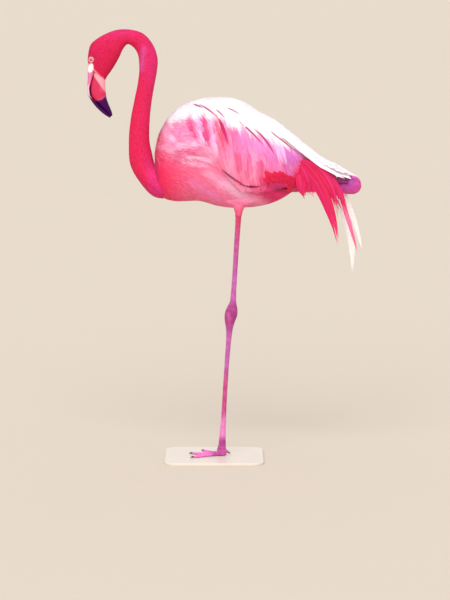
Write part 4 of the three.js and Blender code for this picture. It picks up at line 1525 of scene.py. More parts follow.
def loose_barbs(coat, centres, normals, across, wide, camber, tones, root, length, rng, width):
    """One fine loose barb over each vane, in its own tones, reaching a little past its edge or tip."""
    n, k = centres.shape[:2]
    rings = 5
    s = np.linspace(0, 1, rings)
    first, last = rng.uniform(0.2, 0.6, n), rng.uniform(0.82, 1.08, n)
    q = first[:, None] + (last - first)[:, None] * s
    aside = rng.uniform(-1, 1, n)[:, None]
    spot = np.clip(q, 0, 1) * (k - 1)
    low = np.minimum(spot.astype(int), k - 2)
    share = (spot - low)[..., None]
    row = np.arange(n)[:, None]

    def at(values):
        return values[row, low] * (1 - share) + values[row, low + 1] * share

    reach = 0.4 * wide.max(1)[:, None] + 0.6 * at(wide[..., None])[..., 0]
    normal = unit(at(normals))
    height = np.interp(s, [0, 0.3, 1], [-0.3, 0.12, 0.0]) - camber * reach * aside**2
    line = at(centres) + at(across) * (aside * reach)[..., None] + normal * height[..., None]
    end = unit(centres[:, -1] - centres[:, -2])
    line = line + end[:, None] * ((q - np.clip(q, 0, 1)) * length[:, None])[..., None]
    column = np.round((aside * 0.5 + 0.5) * (tones.shape[2] - 1)).astype(int)
    own = tones[row, low, column] * rng.normal(1.02, 0.06, (n, 1, 1))
    own = np.repeat(own[:, :, None], 3, axis=2)
    side = unit(np.cross(normal, np.gradient(line, axis=1)))
    thin = width * rng.uniform(0.7, 1.2, (n, 1)) * np.interp(s, *LONG_TIP)
    coat.add(line, normal, side, thin, 0.2, own, root, length * (last - first))


def arc(path, s):
    """Points at shares s of the smooth arc from a root past a bend to a tip."""
    root, bend, tip = (np.array(q, float) for q in path)
    return (1 - s) ** 2 * root + 2 * s * (1 - s) * bend + s * s * tip


def drape(form, path, side, rings):
    """Line, normals, ways and map place of one long vane over a form, by its arc seen from the side."""
    q = arc(path, np.linspace(0, 1, rings)[:, None])
    t, angle = form.on_side(q[:, 0], q[:, 1], side)
    p, normal, _, _ = form.frame(t, angle)
    return p, normal, unit(np.gradient(p, axis=0)), np.array([t[0], angle[0] / TURN % 1])


def lay_vane(
    coat, line, normal, way, half, tones, root, *, columns=7, sink=0.0, lift=0.0, camber=0.2,
    profile=LONG_TIP, patch=LONG_PATCH,
):
    """Adds one long vane along its own centre line, with a tone for each of its rings, or each point."""
    if tones.ndim == 2:
        tones = np.repeat(tones[:, None], columns, axis=1)
    s = np.linspace(0, 1, len(line))
    height = -sink * (1 - s) ** 1.5 + lift * s**2
    length = np.linalg.norm(np.diff(line, axis=0), axis=1).sum()
    centre = line + normal * height[:, None]
    across = unit(np.cross(normal, way))
    wide = half * np.interp(s, *profile)
    rows = [row[None] for row in (centre, normal, across, wide)]
    coat.add(*rows, camber, tones[None], np.array([root]), np.array([length]), patch)


# ---------------------------------------------------------------- the lie of the plumage
def wing_edge(x):
    """The height of the folded wing's lower edge."""
    return np.interp(x, [-133, -70, -10, 23, 45, 72, 103, 118, 160, 190, 202],
                     [700, 690, 690, 668, 650, 636, 630, 632, 641, 664, 700])


def side_lie(p, lengthwise):
    """The way that body and wing feathers point: back along the breast, and down over the wing."""
    x, z = p[..., 0], p[..., 2]
    top = np.interp(x, *np.array(TRUNK, float)[:, :2].T)
    low = np.interp(x, [-130, -90, -60, -20, 60, 100, 150, 200], [-15, -24, -62, -80, -85, -80, -68, -62])
    over = -20 + (low + 20) * step(2, 60, top - z)
    breast = np.interp(z, [588, 625, 700, 735, 760], [-12, -33, -22, 2, -16])
    front = step(-25, 25, x + 60 - (790 - z) * 0.75)
    vent = step(8, -12, z - wing_edge(x)) * step(50, 120, x)
    slope = breast + (over - breast) * front
    slope = np.radians(slope + (14 - slope) * vent)
    return np.stack([np.cos(slope), 0 * slope, np.sin(slope)], -1)


def down_the_neck(p, lengthwise):
    return -lengthwise


def down_the_tail(p, lengthwise):
    return lengthwise


def downward(p, lengthwise):
    return np.broadcast_to(np.array([0.1, 0.0, -1.0]), p.shape)


# ---------------------------------------------------------------- plumage
def both_sides(seed):
    """Each side's name and sign, with random numbers of its own."""
    for index, (word, side) in enumerate(SIDES.items()):
        yield word, side, np.random.default_rng(seed + index)


def neck_paint(angle):
    back = (np.sin(angle) + 1) / 2

    def marks(p):
        shade = back if p.ndim == 2 else np.broadcast_to(back[:, None], p.shape[:2])
        return neck_marks(p, shade)

    return painter(marks, edge=0.02, jitter=0.09, root_painted_shade=0.2)


def build_head_plumage():
    rng = np.random.default_rng(11)
    start = NECK_BODY.knots[len(NECK)] - 0.012
    coat = Coat("plumage_head")
    gap = settings().head_gap / MM
    places = [start, 0.95, 1]
    along = widening(places, [gap * 1.25, gap, gap * 0.85])
    across = widening(places, [gap * 1.15, gap * 0.92, gap * 0.8])
    t, angle = scatter(NECK_BODY, along, across, rng, start, 0.995)
    p = NECK_BODY.point(t, angle)
    eye_gap = np.minimum(*(np.linalg.norm(p - eye_place(side), axis=1) for side in (LEFT, RIGHT)))
    keep = (face_bareness(p) < 0.5) & (eye_gap > 7.2)
    t, angle, eye_gap = t[keep], angle[keep], eye_gap[keep]
    size = np.interp(t, [start, 0.93, 1], [1.5, 0.92, 0.7]) * np.interp(eye_gap, [6, 20], [0.7, 1])
    face = settings().face_depth / MM
    long, wide = HEAD_FEATHER
    grow(
        coat, NECK_BODY, t, angle, rng, length=long * size, half=wide * size, lie=down_the_neck,
        paint=neck_paint(angle), rings=4, sink=face * 1.2 * size, uneven=0.05, tuck=0.2,
        window=(start - 0.01, 1),
    )
    coat.build("plumage_deep", feather_finish("fine_plumage"))


def build_neck_plumage():
    end = NECK_BODY.knots[len(NECK)]
    middle = 0.42 * end
    gap = settings().neck_gap / MM
    depth = settings().coat_depth / MM
    places = [0.05, 0.22, end]
    long, wide = NECK_FEATHER
    along, across = widening(places, [1.8, 1.1, 1], gap), widening(places, [1.6, 1.05, 0.95], gap)
    for name, low, high, seed in (("lower", 0.05, middle, 12), ("upper", middle, end, 15)):
        rng = np.random.default_rng(seed)
        coat = Coat(f"plumage_neck_{name}")
        t, angle = scatter(NECK_BODY, along, across, rng, low, high)
        keep = ~TRUNK_BODY.holds(NECK_BODY.point(t, angle), 0.8)
        t, angle = t[keep], angle[keep]
        size = np.interp(t, places, [2.0, 1.2, 0.9])
        grow(
            coat, NECK_BODY, t, angle, rng, length=long * size, half=wide * size, lie=down_the_neck,
            paint=neck_paint(angle), rings=4, sink=depth * 0.5, spread=0.08, uneven=0.08, tuck=0.35,
            window=(low, high),
        )
        coat.build("plumage_deep", feather_finish("fine_plumage"))


def neck_room(p):
    """Whether points lie well inside the root of the neck."""
    t = np.linspace(0.03, 0.35, 50)
    centre = NECK_BODY.along(0, t)
    radius = np.linalg.norm(NECK_BODY.along(1, t), axis=1)
    gap = np.linalg.norm(p[:, None] - centre[None], axis=-1) / radius
    return gap.min(1) < 0.75


def shrunk(outline, by):
    """A closed outline drawn in towards its middle."""
    rows = np.array(outline, float)
    middle = (rows.min(0) + rows.max(0)) / 2
    half = (rows.max(0) - rows.min(0)) / 2
    return [tuple(middle + (q - middle) * (1 - by / half)) for q in rows]


def body_coat(coat, form, t, angle, rng, length, half, sink, **others):
    """Lays the feathers of the breast, the belly and the root of the leg, which are all of one kind."""
    grow(
        coat, form, t, angle, rng, length=length, half=half, lie=side_lie, sink=sink, camber=0.1,
        paint=painter(body_marks, edge=0.04, tip=0.04, root_painted_shade=0.05, wander=1.5, streaky=0.16),
        spread=0.07, uneven=0.08, tuck=0.3, rise=1.4, profile=LONG_TIP, **others,
    )


def build_body_plumage():
    long, wide = BODY_FEATHER
    depth = settings().coat_depth / MM
    gap = settings().body_gap / MM
    along = widening([0, 0.08, 0.3], [0.7, 0.9, 1], gap)
    leg = np.concatenate([*leg_line(LEG_RIGHT, TARSUS_RIGHT), toe_line(80, 4)])
    for name, seed, split in (("breast", 13, True), ("belly", 14, False)):
        rng = np.random.default_rng(seed)
        coat = Coat(f"plumage_{name}")
        t, angle = scatter(TRUNK_BODY, along, gap * 0.62, rng, 0.004, 0.985)
        p = TRUNK_BODY.point(t, angle)
        hidden = inside_outline(p[:, [0, 2]], shrunk(WING_OUTLINE, 34)) & (np.abs(p[:, 1]) > 26)
        keep = ~hidden & ~neck_room(p) & (near_line(p, leg) > 6.5) & ((p[:, 0] < -30) == split)
        t, angle, p = t[keep], angle[keep], p[keep]
        size = np.interp(p[:, 0], [-134, -124, -100, -20, 220], [0.3, 0.6, 0.85, 1.1, 1.15])
        length = (long + BODY_GROWTH * step(-110, -30, p[:, 0])) * size
        body_coat(coat, TRUNK_BODY, t, angle, rng, length, wide * size, depth * 0.8)
        coat.build("plumage_deep", feather_finish("body_plumage"))


def wing_drop(p):
    """How far the wing's coat sinks where the flank feathers close over its front and lower front."""
    line = np.concatenate([np.linspace(a, b, 12) for a, b in zip(WING_FRONT, WING_FRONT[1:])])
    flat = p[..., [0, 2]].reshape(-1, 2)
    gap = near_line(flat, line).reshape(p.shape[:-1])
    return (WING_THICKNESS - COAT_LIFT) * (1 - step(-2, 44, gap)) * step(70, 20, p[..., 0])


def build_wing_plumage():
    gap = settings().wing_gap / MM
    soft = painter(
        body_marks, edge=0.1, tip=0.05, jitter=0.035, root_painted_shade=0.04, own=0.25, wander=2.5, streaky=0.26,
    )
    for word, side, rng in both_sides(20):
        coat = Coat(f"plumage_wing_{word}")
        for along, across, long, wide, rings, columns, barbs, lift in WING_LAYERS:
            t, angle = scatter(WING_BODY, gap * along, gap * across, rng, 0.01, 0.97)
            p = WING_BODY.point(t, angle)
            flat, x, z = p[:, [0, 2]], p[:, 0], p[:, 2]
            keep = inside_outline(flat, shrunk(WING_OUTLINE, 3)) & (p[:, 1] * side > 6)
            keep &= inside_outline(flat + np.array([4, -9]), WING_OUTLINE) | (z > wing_edge(x) + 9)
            broad = (x > -45) & (z < 828)
            keep &= broad if lift else (x < 10) | (z > 800) | (z < wing_edge(x) + 34)
            t, angle, x, z = t[keep], angle[keep], x[keep], z[keep]
            rear = step(-90, 60, x)
            past = rng.uniform(0, 20, len(t)) * step(34, 10, x)
            room = 8 + past + 1.1 * np.maximum(z - wing_edge(x), 0)
            length = np.minimum(long * (0.75 + 0.35 * rear), room)
            half = wide * (0.8 + 0.35 * rear) * np.interp(length, [8, 0.7 * long], [0.5, 1])
            grow(
                coat, WING_BODY, t, angle, rng, length=length, half=half, lie=side_lie, paint=soft,
                rings=rings, columns=columns, sink=2.4, camber=0.08, spread=0.06, uneven=0.1, tuck=0.3,
                lift=lift, rise=1.4, profile=LONG_TIP, drop=wing_drop, barbs=barbs,
            )
        add_scapulars(coat, side, rng)
        add_shaded_gap_vanes(coat, side)
        coat.build("plumage_pale", feather_finish("wing_plumage"), f"wing_{word}")


# The small and the long feathers of a wing: spacing along and across, length, half width, rings,
# columns, loose barbs over each with their width, and lift.
WING_LAYERS = (
    (1.0, 0.7, 34, 2.8, 6, 3, (0, 1.0), 0.0),
    (1.9, 1.6, 70, 6.2, 9, 5, (3, 1.2), 0.3),
)
# The line along which the flank feathers close over the wing.
WING_FRONT = [
    (60, 642), (23, 668), (-10, 690), (-70, 690), (-133, 700), (-131, 745), (-112, 785), (-80, 816),
]
# Long feathers laid one by one over each wing: root, bend, tip, half width, tones at root and tip.
SCAPULARS = [
    ((-96, 786), (-86, 770), (-72, 750), 5, "shoulder", "shoulder"),
    ((-60, 802), (-52, 784), (-44, 762), 5.5, "rose_streak", "rose_streak"),
    ((-28, 808), (-20, 780), (-8, 738), 6.5, "rose_streak", "rose_streak"),
    ((-40, 804), (-30, 770), (-12, 728), 4, "blush", "blush"),
    ((-10, 806), (0, 766), (14, 696), 6, "pale_lilac", "blush"),
    ((-34, 780), (-22, 748), (6, 706), 4, "blush", "blush"),
    ((-90, 722), (-60, 716), (-30, 716), 3.5, "rose_streak", "coral"),
    ((-84, 742), (-54, 744), (-18, 731), 5, "blush", "blush"),
    ((-60, 708), (-28, 708), (6, 696), 5, "blush", "blush"),
    ((-120, 770), (-98, 762), (-78, 736), 6, "blush", "blush"),
    ((-124, 752), (-104, 746), (-82, 732), 5, "shoulder", "shoulder"),
    # The white roots of the upper feathers below carry the back's painted highlight.
    ((-30, 828), (12, 806), (36, 728), 10, "white", "red_streak"),
    ((8, 818), (34, 790), (48, 700), 9, "white", "shoulder"),
    ((34, 790), (56, 740), (66, 674), 8, "rose_streak", "coral"),
    ((30, 822), (66, 800), (88, 716), 11, "white", "lilac"),
    ((58, 812), (96, 776), (118, 706), 12, "white", "orchid"),
    ((86, 800), (124, 764), (146, 690), 12, "white", "lilac"),
    ((112, 792), (148, 752), (172, 684), 12, "white", "pale_lilac"),
    ((136, 776), (172, 742), (190, 682), 12, "pale_lilac", "violet"),
    ((150, 764), (180, 736), (200, 690), 11, "pale_lilac", "violet"),
    # These two are white as a painted highlight on the top of the shoulder.
    ((-104, 796), (-86, 800), (-66, 788), 5, "white", "white"),
    ((-84, 812), (-66, 814), (-46, 798), 6, "white", "white"),
]
# Narrow dark vanes of painted shade in the gaps between the long feathers and under the wing's edge, and one
# ink vane for the flight feathers there: root, bend, tip, half width, tone.
SHADED_GAP_VANES = [
    ((-43, 826), (-32, 823), (-20, 817), 2.0, "plum"),
    ((-30, 826), (-6, 816), (14, 796), 2.0, "wine"),
    ((14, 798), (26, 776), (38, 736), 3.4, "wine"),
    ((6, 818), (18, 809), (31, 794), 1.5, "wine"),
    ((33, 819), (48, 814), (64, 803), 1.4, "wine"),
    ((56, 793), (84, 772), (118, 734), 2.0, "wine"),
    ((97, 770), (124, 750), (144, 710), 2.0, "wine"),
    ((131, 767), (156, 748), (200, 711), 1.8, "wine"),
    ((22, 680), (46, 658), (82, 638), 1.7, "plum"),
    ((64, 645), (86, 635), (110, 640), 2.8, "ink"),
]
HAND_RINGS = 12


def add_scapulars(coat, side, rng):
    """The long feathers of the shoulder, each a bundle of narrow vanes."""
    s = np.linspace(0, 1, HAND_RINGS)
    pale_edge = 0.2 * np.array([1, 0, 1]) * np.ones((HAND_RINGS, 1))
    for root, bend, tip, half, first, last in SCAPULARS:
        aslant = unit(np.array(tip, float) - root)[::-1] * [1, -1]
        for offset in np.linspace(-0.8, 0.8, 6):
            shift = aslant * offset * half
            path = [np.array(root) + shift, np.array(bend) + shift * 1.1 + rng.normal(0, 1.5, 2)]
            path.append(np.array(tip) + shift * 0.8 - (path[1] - path[0]) * rng.uniform(0, 0.3))
            line, normal, way, place = drape(WING_BODY, path, side, HAND_RINGS)
            line[:, 1] -= side * wing_drop(line)
            tones = mix(first, last, step(0.1, 0.75, s + rng.normal(0, 0.08)))
            tones = mix(tones, body_marks(line), 0.2 + 0.8 * step(0.25, 0.0, s)) * rng.normal(1, 0.04)
            tones = mix(np.repeat(tones[:, None], 3, axis=1), "blush", pale_edge)
            lift = 0.6 + rng.uniform(0, 0.5)
            lay_vane(coat, line, normal, way, half * 0.36, tones, place, sink=4, lift=lift, camber=0.13)


# Painted shade: narrow dark vanes laid where the gaps between the feathers lie in shade.
def add_shaded_gap_vanes(coat, side):
    s = np.linspace(0, 1, HAND_RINGS)
    u = np.linspace(-1, 1, 7)
    ends = np.abs(2 * s - 1)[:, None] ** 5
    fade = ends * 0.7 + (1 - ends) * 0.75 * np.abs(u) ** 2
    for root, bend, tip, half, name in SHADED_GAP_VANES:
        line, normal, way, place = drape(WING_BODY, (root, bend, tip), side, HAND_RINGS)
        tones = mix(mix(name, "rose_streak", 0.3 * s)[:, None], body_marks(line)[:, None], fade)
        lay_vane(coat, line, normal, way, half * 1.6, tones, place, sink=0.5, lift=1.2, camber=0.12)


def build_flight_feathers():
    s = np.linspace(0, 1, 18)
    tones = mix("ink", "wine", 0.25 * step(0.5, 1, s))
    for word, side in SIDES.items():
        coat = Coat(f"flight_feathers_{word}_vanes")
        for i in range(9):
            low = i / 8
            path = [(60 + 12 * low, 660 - 24 * low), (96, 650 - 22 * low), (204 - 90 * low, 658 - 26 * low)]
            line, normal, way, place = drape(FLIGHT_BODY, path, side, len(s))
            sink = 2.5 - 0.4 * i % 2
            lay_vane(
                coat, line, normal, way, FLIGHT_HALF, tones, place, sink=sink, lift=0.4,
                profile=ROUND_TIP,
            )
        coat.build("plumage_black", feather_finish("flight_plumage"), f"flight_feathers_{word}")


def build_underwing():
    """The red feathers that show below the rear of each folded wing."""
    s = np.linspace(0, 1, 12)
    hem = np.linspace(132, 212, 17)
    heights = np.interp(hem, [112, 123, 170, 198, 221], [654, 649, 646, 634, 616])
    ends = [*zip(hem, heights), (205, 606), (215, 611)]
    for word, side, rng in both_sides(34):
        coat = Coat(f"plumage_underwing_{word}")
        for row in range(4):
            for x, low in ends:
                tip = (x + rng.normal(0, 1.5), low + 5 * (3 - row) + rng.normal(0, 2))
                reach = rng.uniform(24, 40)
                root = (max(tip[0] - reach, 112), tip[1] + reach * 0.5)
                bend = (tip[0] - 0.4 * reach, tip[1] + reach * 0.34)
                line, normal, way, place = drape(WING_BODY, (root, bend, tip), side, len(s))
                tones = mix("red", "crimson", rng.uniform(0, 0.8) + 0.2 * s) * rng.normal(1, 0.05)
                lay_vane(
                    coat, line, normal, way, rng.uniform(3.4, 5), tones, place, columns=5, sink=1.5,
                    lift=1.4 + row * 0.4, patch=PATCH,
                )
        coat.build("plumage_deep", feather_finish("body_plumage"))


def build_tertials():
    """The long drooping red feathers behind each wing, with their loose silky tips."""
    for word, side, rng in both_sides(40):
        coat = Coat(f"plumage_tertials_{word}")
        plumes = PLUMES[word]
        for number, plume in enumerate(plumes):
            add_plume(coat, plume, side, number, len(plumes), rng)
        coat.build("plumage_deep", feather_finish("drooping_plumage"), f"tertials_{word}")


def add_plume(coat, plume, side, number, total, rng):
    """One drooping plume: a few broad vanes, and fine strands that part towards the tip."""
    root, bend, tip, half, tip_name, half_way = plume
    path = [(x, side * y, z) for x, y, z in (root, bend, tip)]
    reach = np.linalg.norm(np.array(tip, float) - root)
    pale = tip_name == "cream" and half_way < 0.5
    broad, fine = 5 + 3 * pale, int(10 + reach / 9) + 14 * pale
    for i in range(broad + fine):
        wide = i < broad
        rings, columns = (16, 7) if wide else (14, 3)
        first = rng.uniform(0, 0.06) if wide else rng.uniform(0, 0.35)
        last = rng.uniform(0.62, 0.93) if wide else rng.uniform(0.6 + 0.15 * pale, 1.0)
        if i == broad:
            first, last = 0.1, 1.0
        q = first + (last - first) * np.linspace(0, 1, rings)[:, None]
        line = arc(path, q)
        way = unit(np.gradient(line, axis=0))
        normal = unit(np.array([0, side, 0.0]) - way * way[:, 1:2] * side)
        across = unit(np.cross(normal, way))
        offset = rng.uniform(-0.55, 0.55) if wide else rng.uniform(-0.95, 0.95)
        splay = np.sin(np.pi * np.clip(0.2 + 0.8 * q, 0, 1)) ** 0.7
        wave = rng.normal(0, 0.6) * np.sin(q * rng.uniform(3, 7) + rng.uniform(0, 6))
        line = line + across * (offset * half * splay + wave * half * 0.18 * q)
        depth = -0.4 * number + rng.uniform(-1.6, 1.6)
        line = line + np.array([0, side * depth, 0])
        width = half * rng.uniform(0.42, 0.62) if wide else rng.uniform(0.7, 1.7) * (1 + 0.9 * pale)
        main = mix("red", "rose_streak", rng.uniform(0, 0.75))
        fade = step(half_way - 0.15, half_way + 0.15, q[:, 0] + rng.normal(0, 0.05))
        tones = mix(main, tip_name, fade) * rng.normal(1, 0.06 - 0.04 * pale)
        share = (number + (i + 0.5) / (broad + fine)) / total
        place = np.array([0.05 + 0.9 * share, 0.1 + 0.8 * rng.uniform()])
        camber = 0.16 if wide else 0.4
        lay_vane(coat, line, normal, way, width, tones, place, columns=columns, camber=camber, patch=PATCH)


def build_tail():
    """Tail feathers in a closed fan, with their coverts above and below."""
    rng = np.random.default_rng(50)
    coat = Coat("plumage_tail")
    s = np.linspace(0, 1, 16)
    # Painted highlight: the tail feathers turn white towards their tips, on the lit top of the rear.
    tones = mix("blush", "white", step(-0.2, 0.3, s))
    for i in range(12):
        fan = (i - 5.5) / 5.5
        t = 0.02 + (0.93 - 0.1 * abs(fan)) * s
        middle, up, side = TAIL_BODY.along(0, t), unit(TAIL_BODY.along(1, t)), TAIL_BODY.along(3, t)
        line = middle + side * fan * 0.8 + up * (2.2 - 3.4 * fan * fan + 0.7 * (i % 2))
        way = unit(np.gradient(line, axis=0))
        normal = unit(up - way * dot(up, way)[:, None])
        place = np.array([0.1 + 0.8 * i / 11, 0.3])
        lay_vane(coat, line, normal, way, TAIL_HALF, tones, place, camber=0.12, profile=ROUND_TIP)
    t, angle = scatter(TAIL_BODY, 7, 7, rng, 0.0, 0.72)

    def marks(p):
        # Painted light: white on top, and pale lilac lower down where shade falls beside the drooping
        # feathers.
        high = step(-4, 8, p[..., 2] - np.interp(p[..., 0], [196, 329], [700, 644]))
        return mix("pale_lilac", "white", high)

    long, wide = TAIL_COVERT
    grow(
        coat, TAIL_BODY, t, angle, rng, length=long, half=wide, lie=down_the_tail,
        paint=painter(marks, edge=0.3), rings=6, columns=5, sink=2.5, uneven=0.4,
    )
    add_roof(coat, rng)
    coat.build("plumage_pale", feather_finish("wing_plumage"), "tail")


# The long white feathers of the lower back: x of each row's roots, and the row's reach; then the
# roof's ridge, as z at each x, and its spread to the sides.
ROOF_ROWS = ((150, 90), (172, 100), (192, 112), (214, 122))
ROOF_RIDGE = [140, 170, 200, 225, 252, 298, 321, 335], [790, 774, 746, 728, 706, 681, 669, 662]
ROOF_SPREAD = [150, 200, 240, 262, 290, 330], [1.08, 1.04, 0.96, 0.92, 0.98, 0.84]
ROOF_SLOPE = 0.64
ROOF_CROWN = 16


def add_roof(coat, rng):
    """Long white feathers of the lower back, laid like a roof over the tail and the drooping feathers."""
    rings = 14
    s = np.linspace(0, 1, rings)
    for start, reach in ROOF_ROWS:
        for place in np.linspace(-44, 44, 13):
            y = place + rng.normal(0, 1.5)
            x = start + rng.normal(0, 4) + (reach + rng.normal(0, 5)) * (1 - 0.18 * abs(y) / 46) * s
            aside = y * np.interp(x, *ROOF_SPREAD)
            bow = np.hypot(aside, ROOF_CROWN)
            height = np.interp(x, *ROOF_RIDGE) - ROOF_SLOPE * (bow - ROOF_CROWN) - 1.5
            line = crosswise(x, aside, height)
            way = unit(np.gradient(line, axis=0))
            normal = unit(np.cross(way, crosswise(0, 1, -ROOF_SLOPE * aside / bow)))
            # Painted highlight: the roof is painted white, with a little blush, where light falls on the
            # lower back.
            tones = mix("white", "blush", 0.12 * rng.uniform(0, 1) * np.ones(rings))
            spot = np.array([0.05 + 0.9 * rng.uniform(), 0.55 + 0.4 * rng.uniform()])
            lay_vane(
                coat, line, normal, way, ROOF_HALF, tones, spot, sink=4, lift=-1.5, camber=0.14,
                profile=SOFT_TIP, patch=PATCH,
            )


def build_thigh_plumage():
    """The short feathers of the thigh, and the longer ones that swell over its root."""
    rng = np.random.default_rng(60)
    coat = Coat("plumage_thigh")
    t, angle = scatter(THIGH_BODY, 2.6, 3.0, rng, 0.0, 0.86)
    size = np.interp(t, [0, 1], [1.3, 0.62])

    def marks(p):
        return mix("coral", body_marks(p), step(578, 596, p[..., 2]))

    long, wide = THIGH_FEATHER
    grow(
        coat, THIGH_BODY, t, angle, rng, length=long * size, half=wide * size, lie=downward,
        paint=painter(marks, edge=0.12), sink=1.8 * size, camber=0.3, spread=0.14, uneven=0.3,
        profile=LONG_TIP, window=(0, 2),
    )
    hip = limb_form(HIP)
    t, angle = scatter(hip, 3.4, 2.2, rng, 0.02, 0.98)
    keep = hip.point(t, angle)[:, 1] < -22
    body_coat(coat, hip, t[keep], angle[keep], rng, *BODY_FEATHER, 2.5, window=(-1, 1))
    coat.build("plumage_deep", feather_finish("body_plumage"))


# ---------------------------------------------------------------- base and stage
def finish_base():
    """Gives the stand's own plate its pale enamel, with a fine orange-peel surface."""
    n = Nodes("base_enamel_finish")
    n.set(Coat_Weight=0.25, Coat_Roughness=0.2, Specular_IOR_Level=0.4)
    place = n.place()
    peel = n.noise(place, 700, 2.0)
    shade = n.stain(tuple(colour("base")), n.noise(place, 14), 0.35, 0.7, 0.3, (0.93, 0.9, 0.86))
    material = n.finish(shade, n.bump(peel, 0.12, 0.0002), n.range(peel, 0.3, 0.7, 0.36, 0.48))
    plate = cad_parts["stand_base"]
    plate.data.materials.clear()
    plate.data.materials.append(material)


def floor_finish():
    n = Nodes("floor_finish")
    n.set(Specular_IOR_Level=0.1)
    cloud = n.noise(n.place(), 2)
    shade = n.stain(tuple(colour("floor")), cloud, 0.35, 0.7, 0.15, (0.98, 0.97, 0.95))
    return n.finish(shade, roughness=n.range(cloud, 0.3, 0.7, 0.85, 0.95))


# Metres: the floor's reach to each side, what the camera looks at, and the width that it takes in.
FLOOR_REACH = 400.0
VIEW_MIDDLE = np.array([0.0303, 0.0, 0.3743])
VIEW_WIDTH = 1.398
SUN_TURN = (math.radians(48), math.radians(-10), 0)


def build_stage():
    """The floor, a pale surround, soft light from above, and the camera."""
    choice = settings()
    scene = bpy.context.scene
    low = min(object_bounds()[0].z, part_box("stand_base")[0].z)
    mesh = bpy.data.meshes.new("floor")
    around = ((-1, -1), (1, -1), (1, 1), (-1, 1))
    mesh.from_pydata([(x * FLOOR_REACH, y * FLOOR_REACH, low) for x, y in around], [], [(0, 1, 2, 3)])
    mesh.materials.append(floor_finish())
    new_object("floor", mesh)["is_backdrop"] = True
    world = bpy.data.worlds.new("pale_surround")
    world.use_nodes = True
    background = world.node_tree.nodes["Background"]
    background.inputs["Color"].default_value = (*choice.surround, 1)
    background.inputs["Strength"].default_value = choice.surround_strength
    scene.world = world
    lamp = bpy.data.lights.new("soft_sun", "SUN")
    lamp.energy = choice.sun_strength
    lamp.angle = choice.sun_softness
    new_object("soft_sun", lamp).rotation_euler = SUN_TURN
    lens = bpy.data.cameras.new("camera")
    lens.lens = lens.sensor_width * choice.camera_distance / VIEW_WIDTH
    lens.clip_end = 5 * FLOOR_REACH
    camera = new_object("camera", lens)
    tilt = choice.camera_height
    away = np.array([0.0, -math.cos(tilt), math.sin(tilt)]) * choice.camera_distance
    camera.location = VIEW_MIDDLE + away
    camera.rotation_euler = (math.pi / 2 - tilt, 0, 0)
    scene.camera = camera
    scene.view_settings.view_transform = "Standard"


# ---------------------------------------------------------------- settings, operators and panel
def shade(name, about, red, green, blue):
    """A colour setting whose default is given as eight-bit display values."""
    return bpy.props.FloatVectorProperty(
        name=name, description=about, default=tone(red, green, blue), size=3, min=0.0, max=1.0,
        subtype="COLOR",
    )


def size(name, about, default):
    """A setting for a small length."""
    return amount(name, about, default, min=0.0002, unit="LENGTH", precision=4)


def amount(name, about, default, **limits):
    return bpy.props.FloatProperty(name=name, description=about, default=default, **limits)


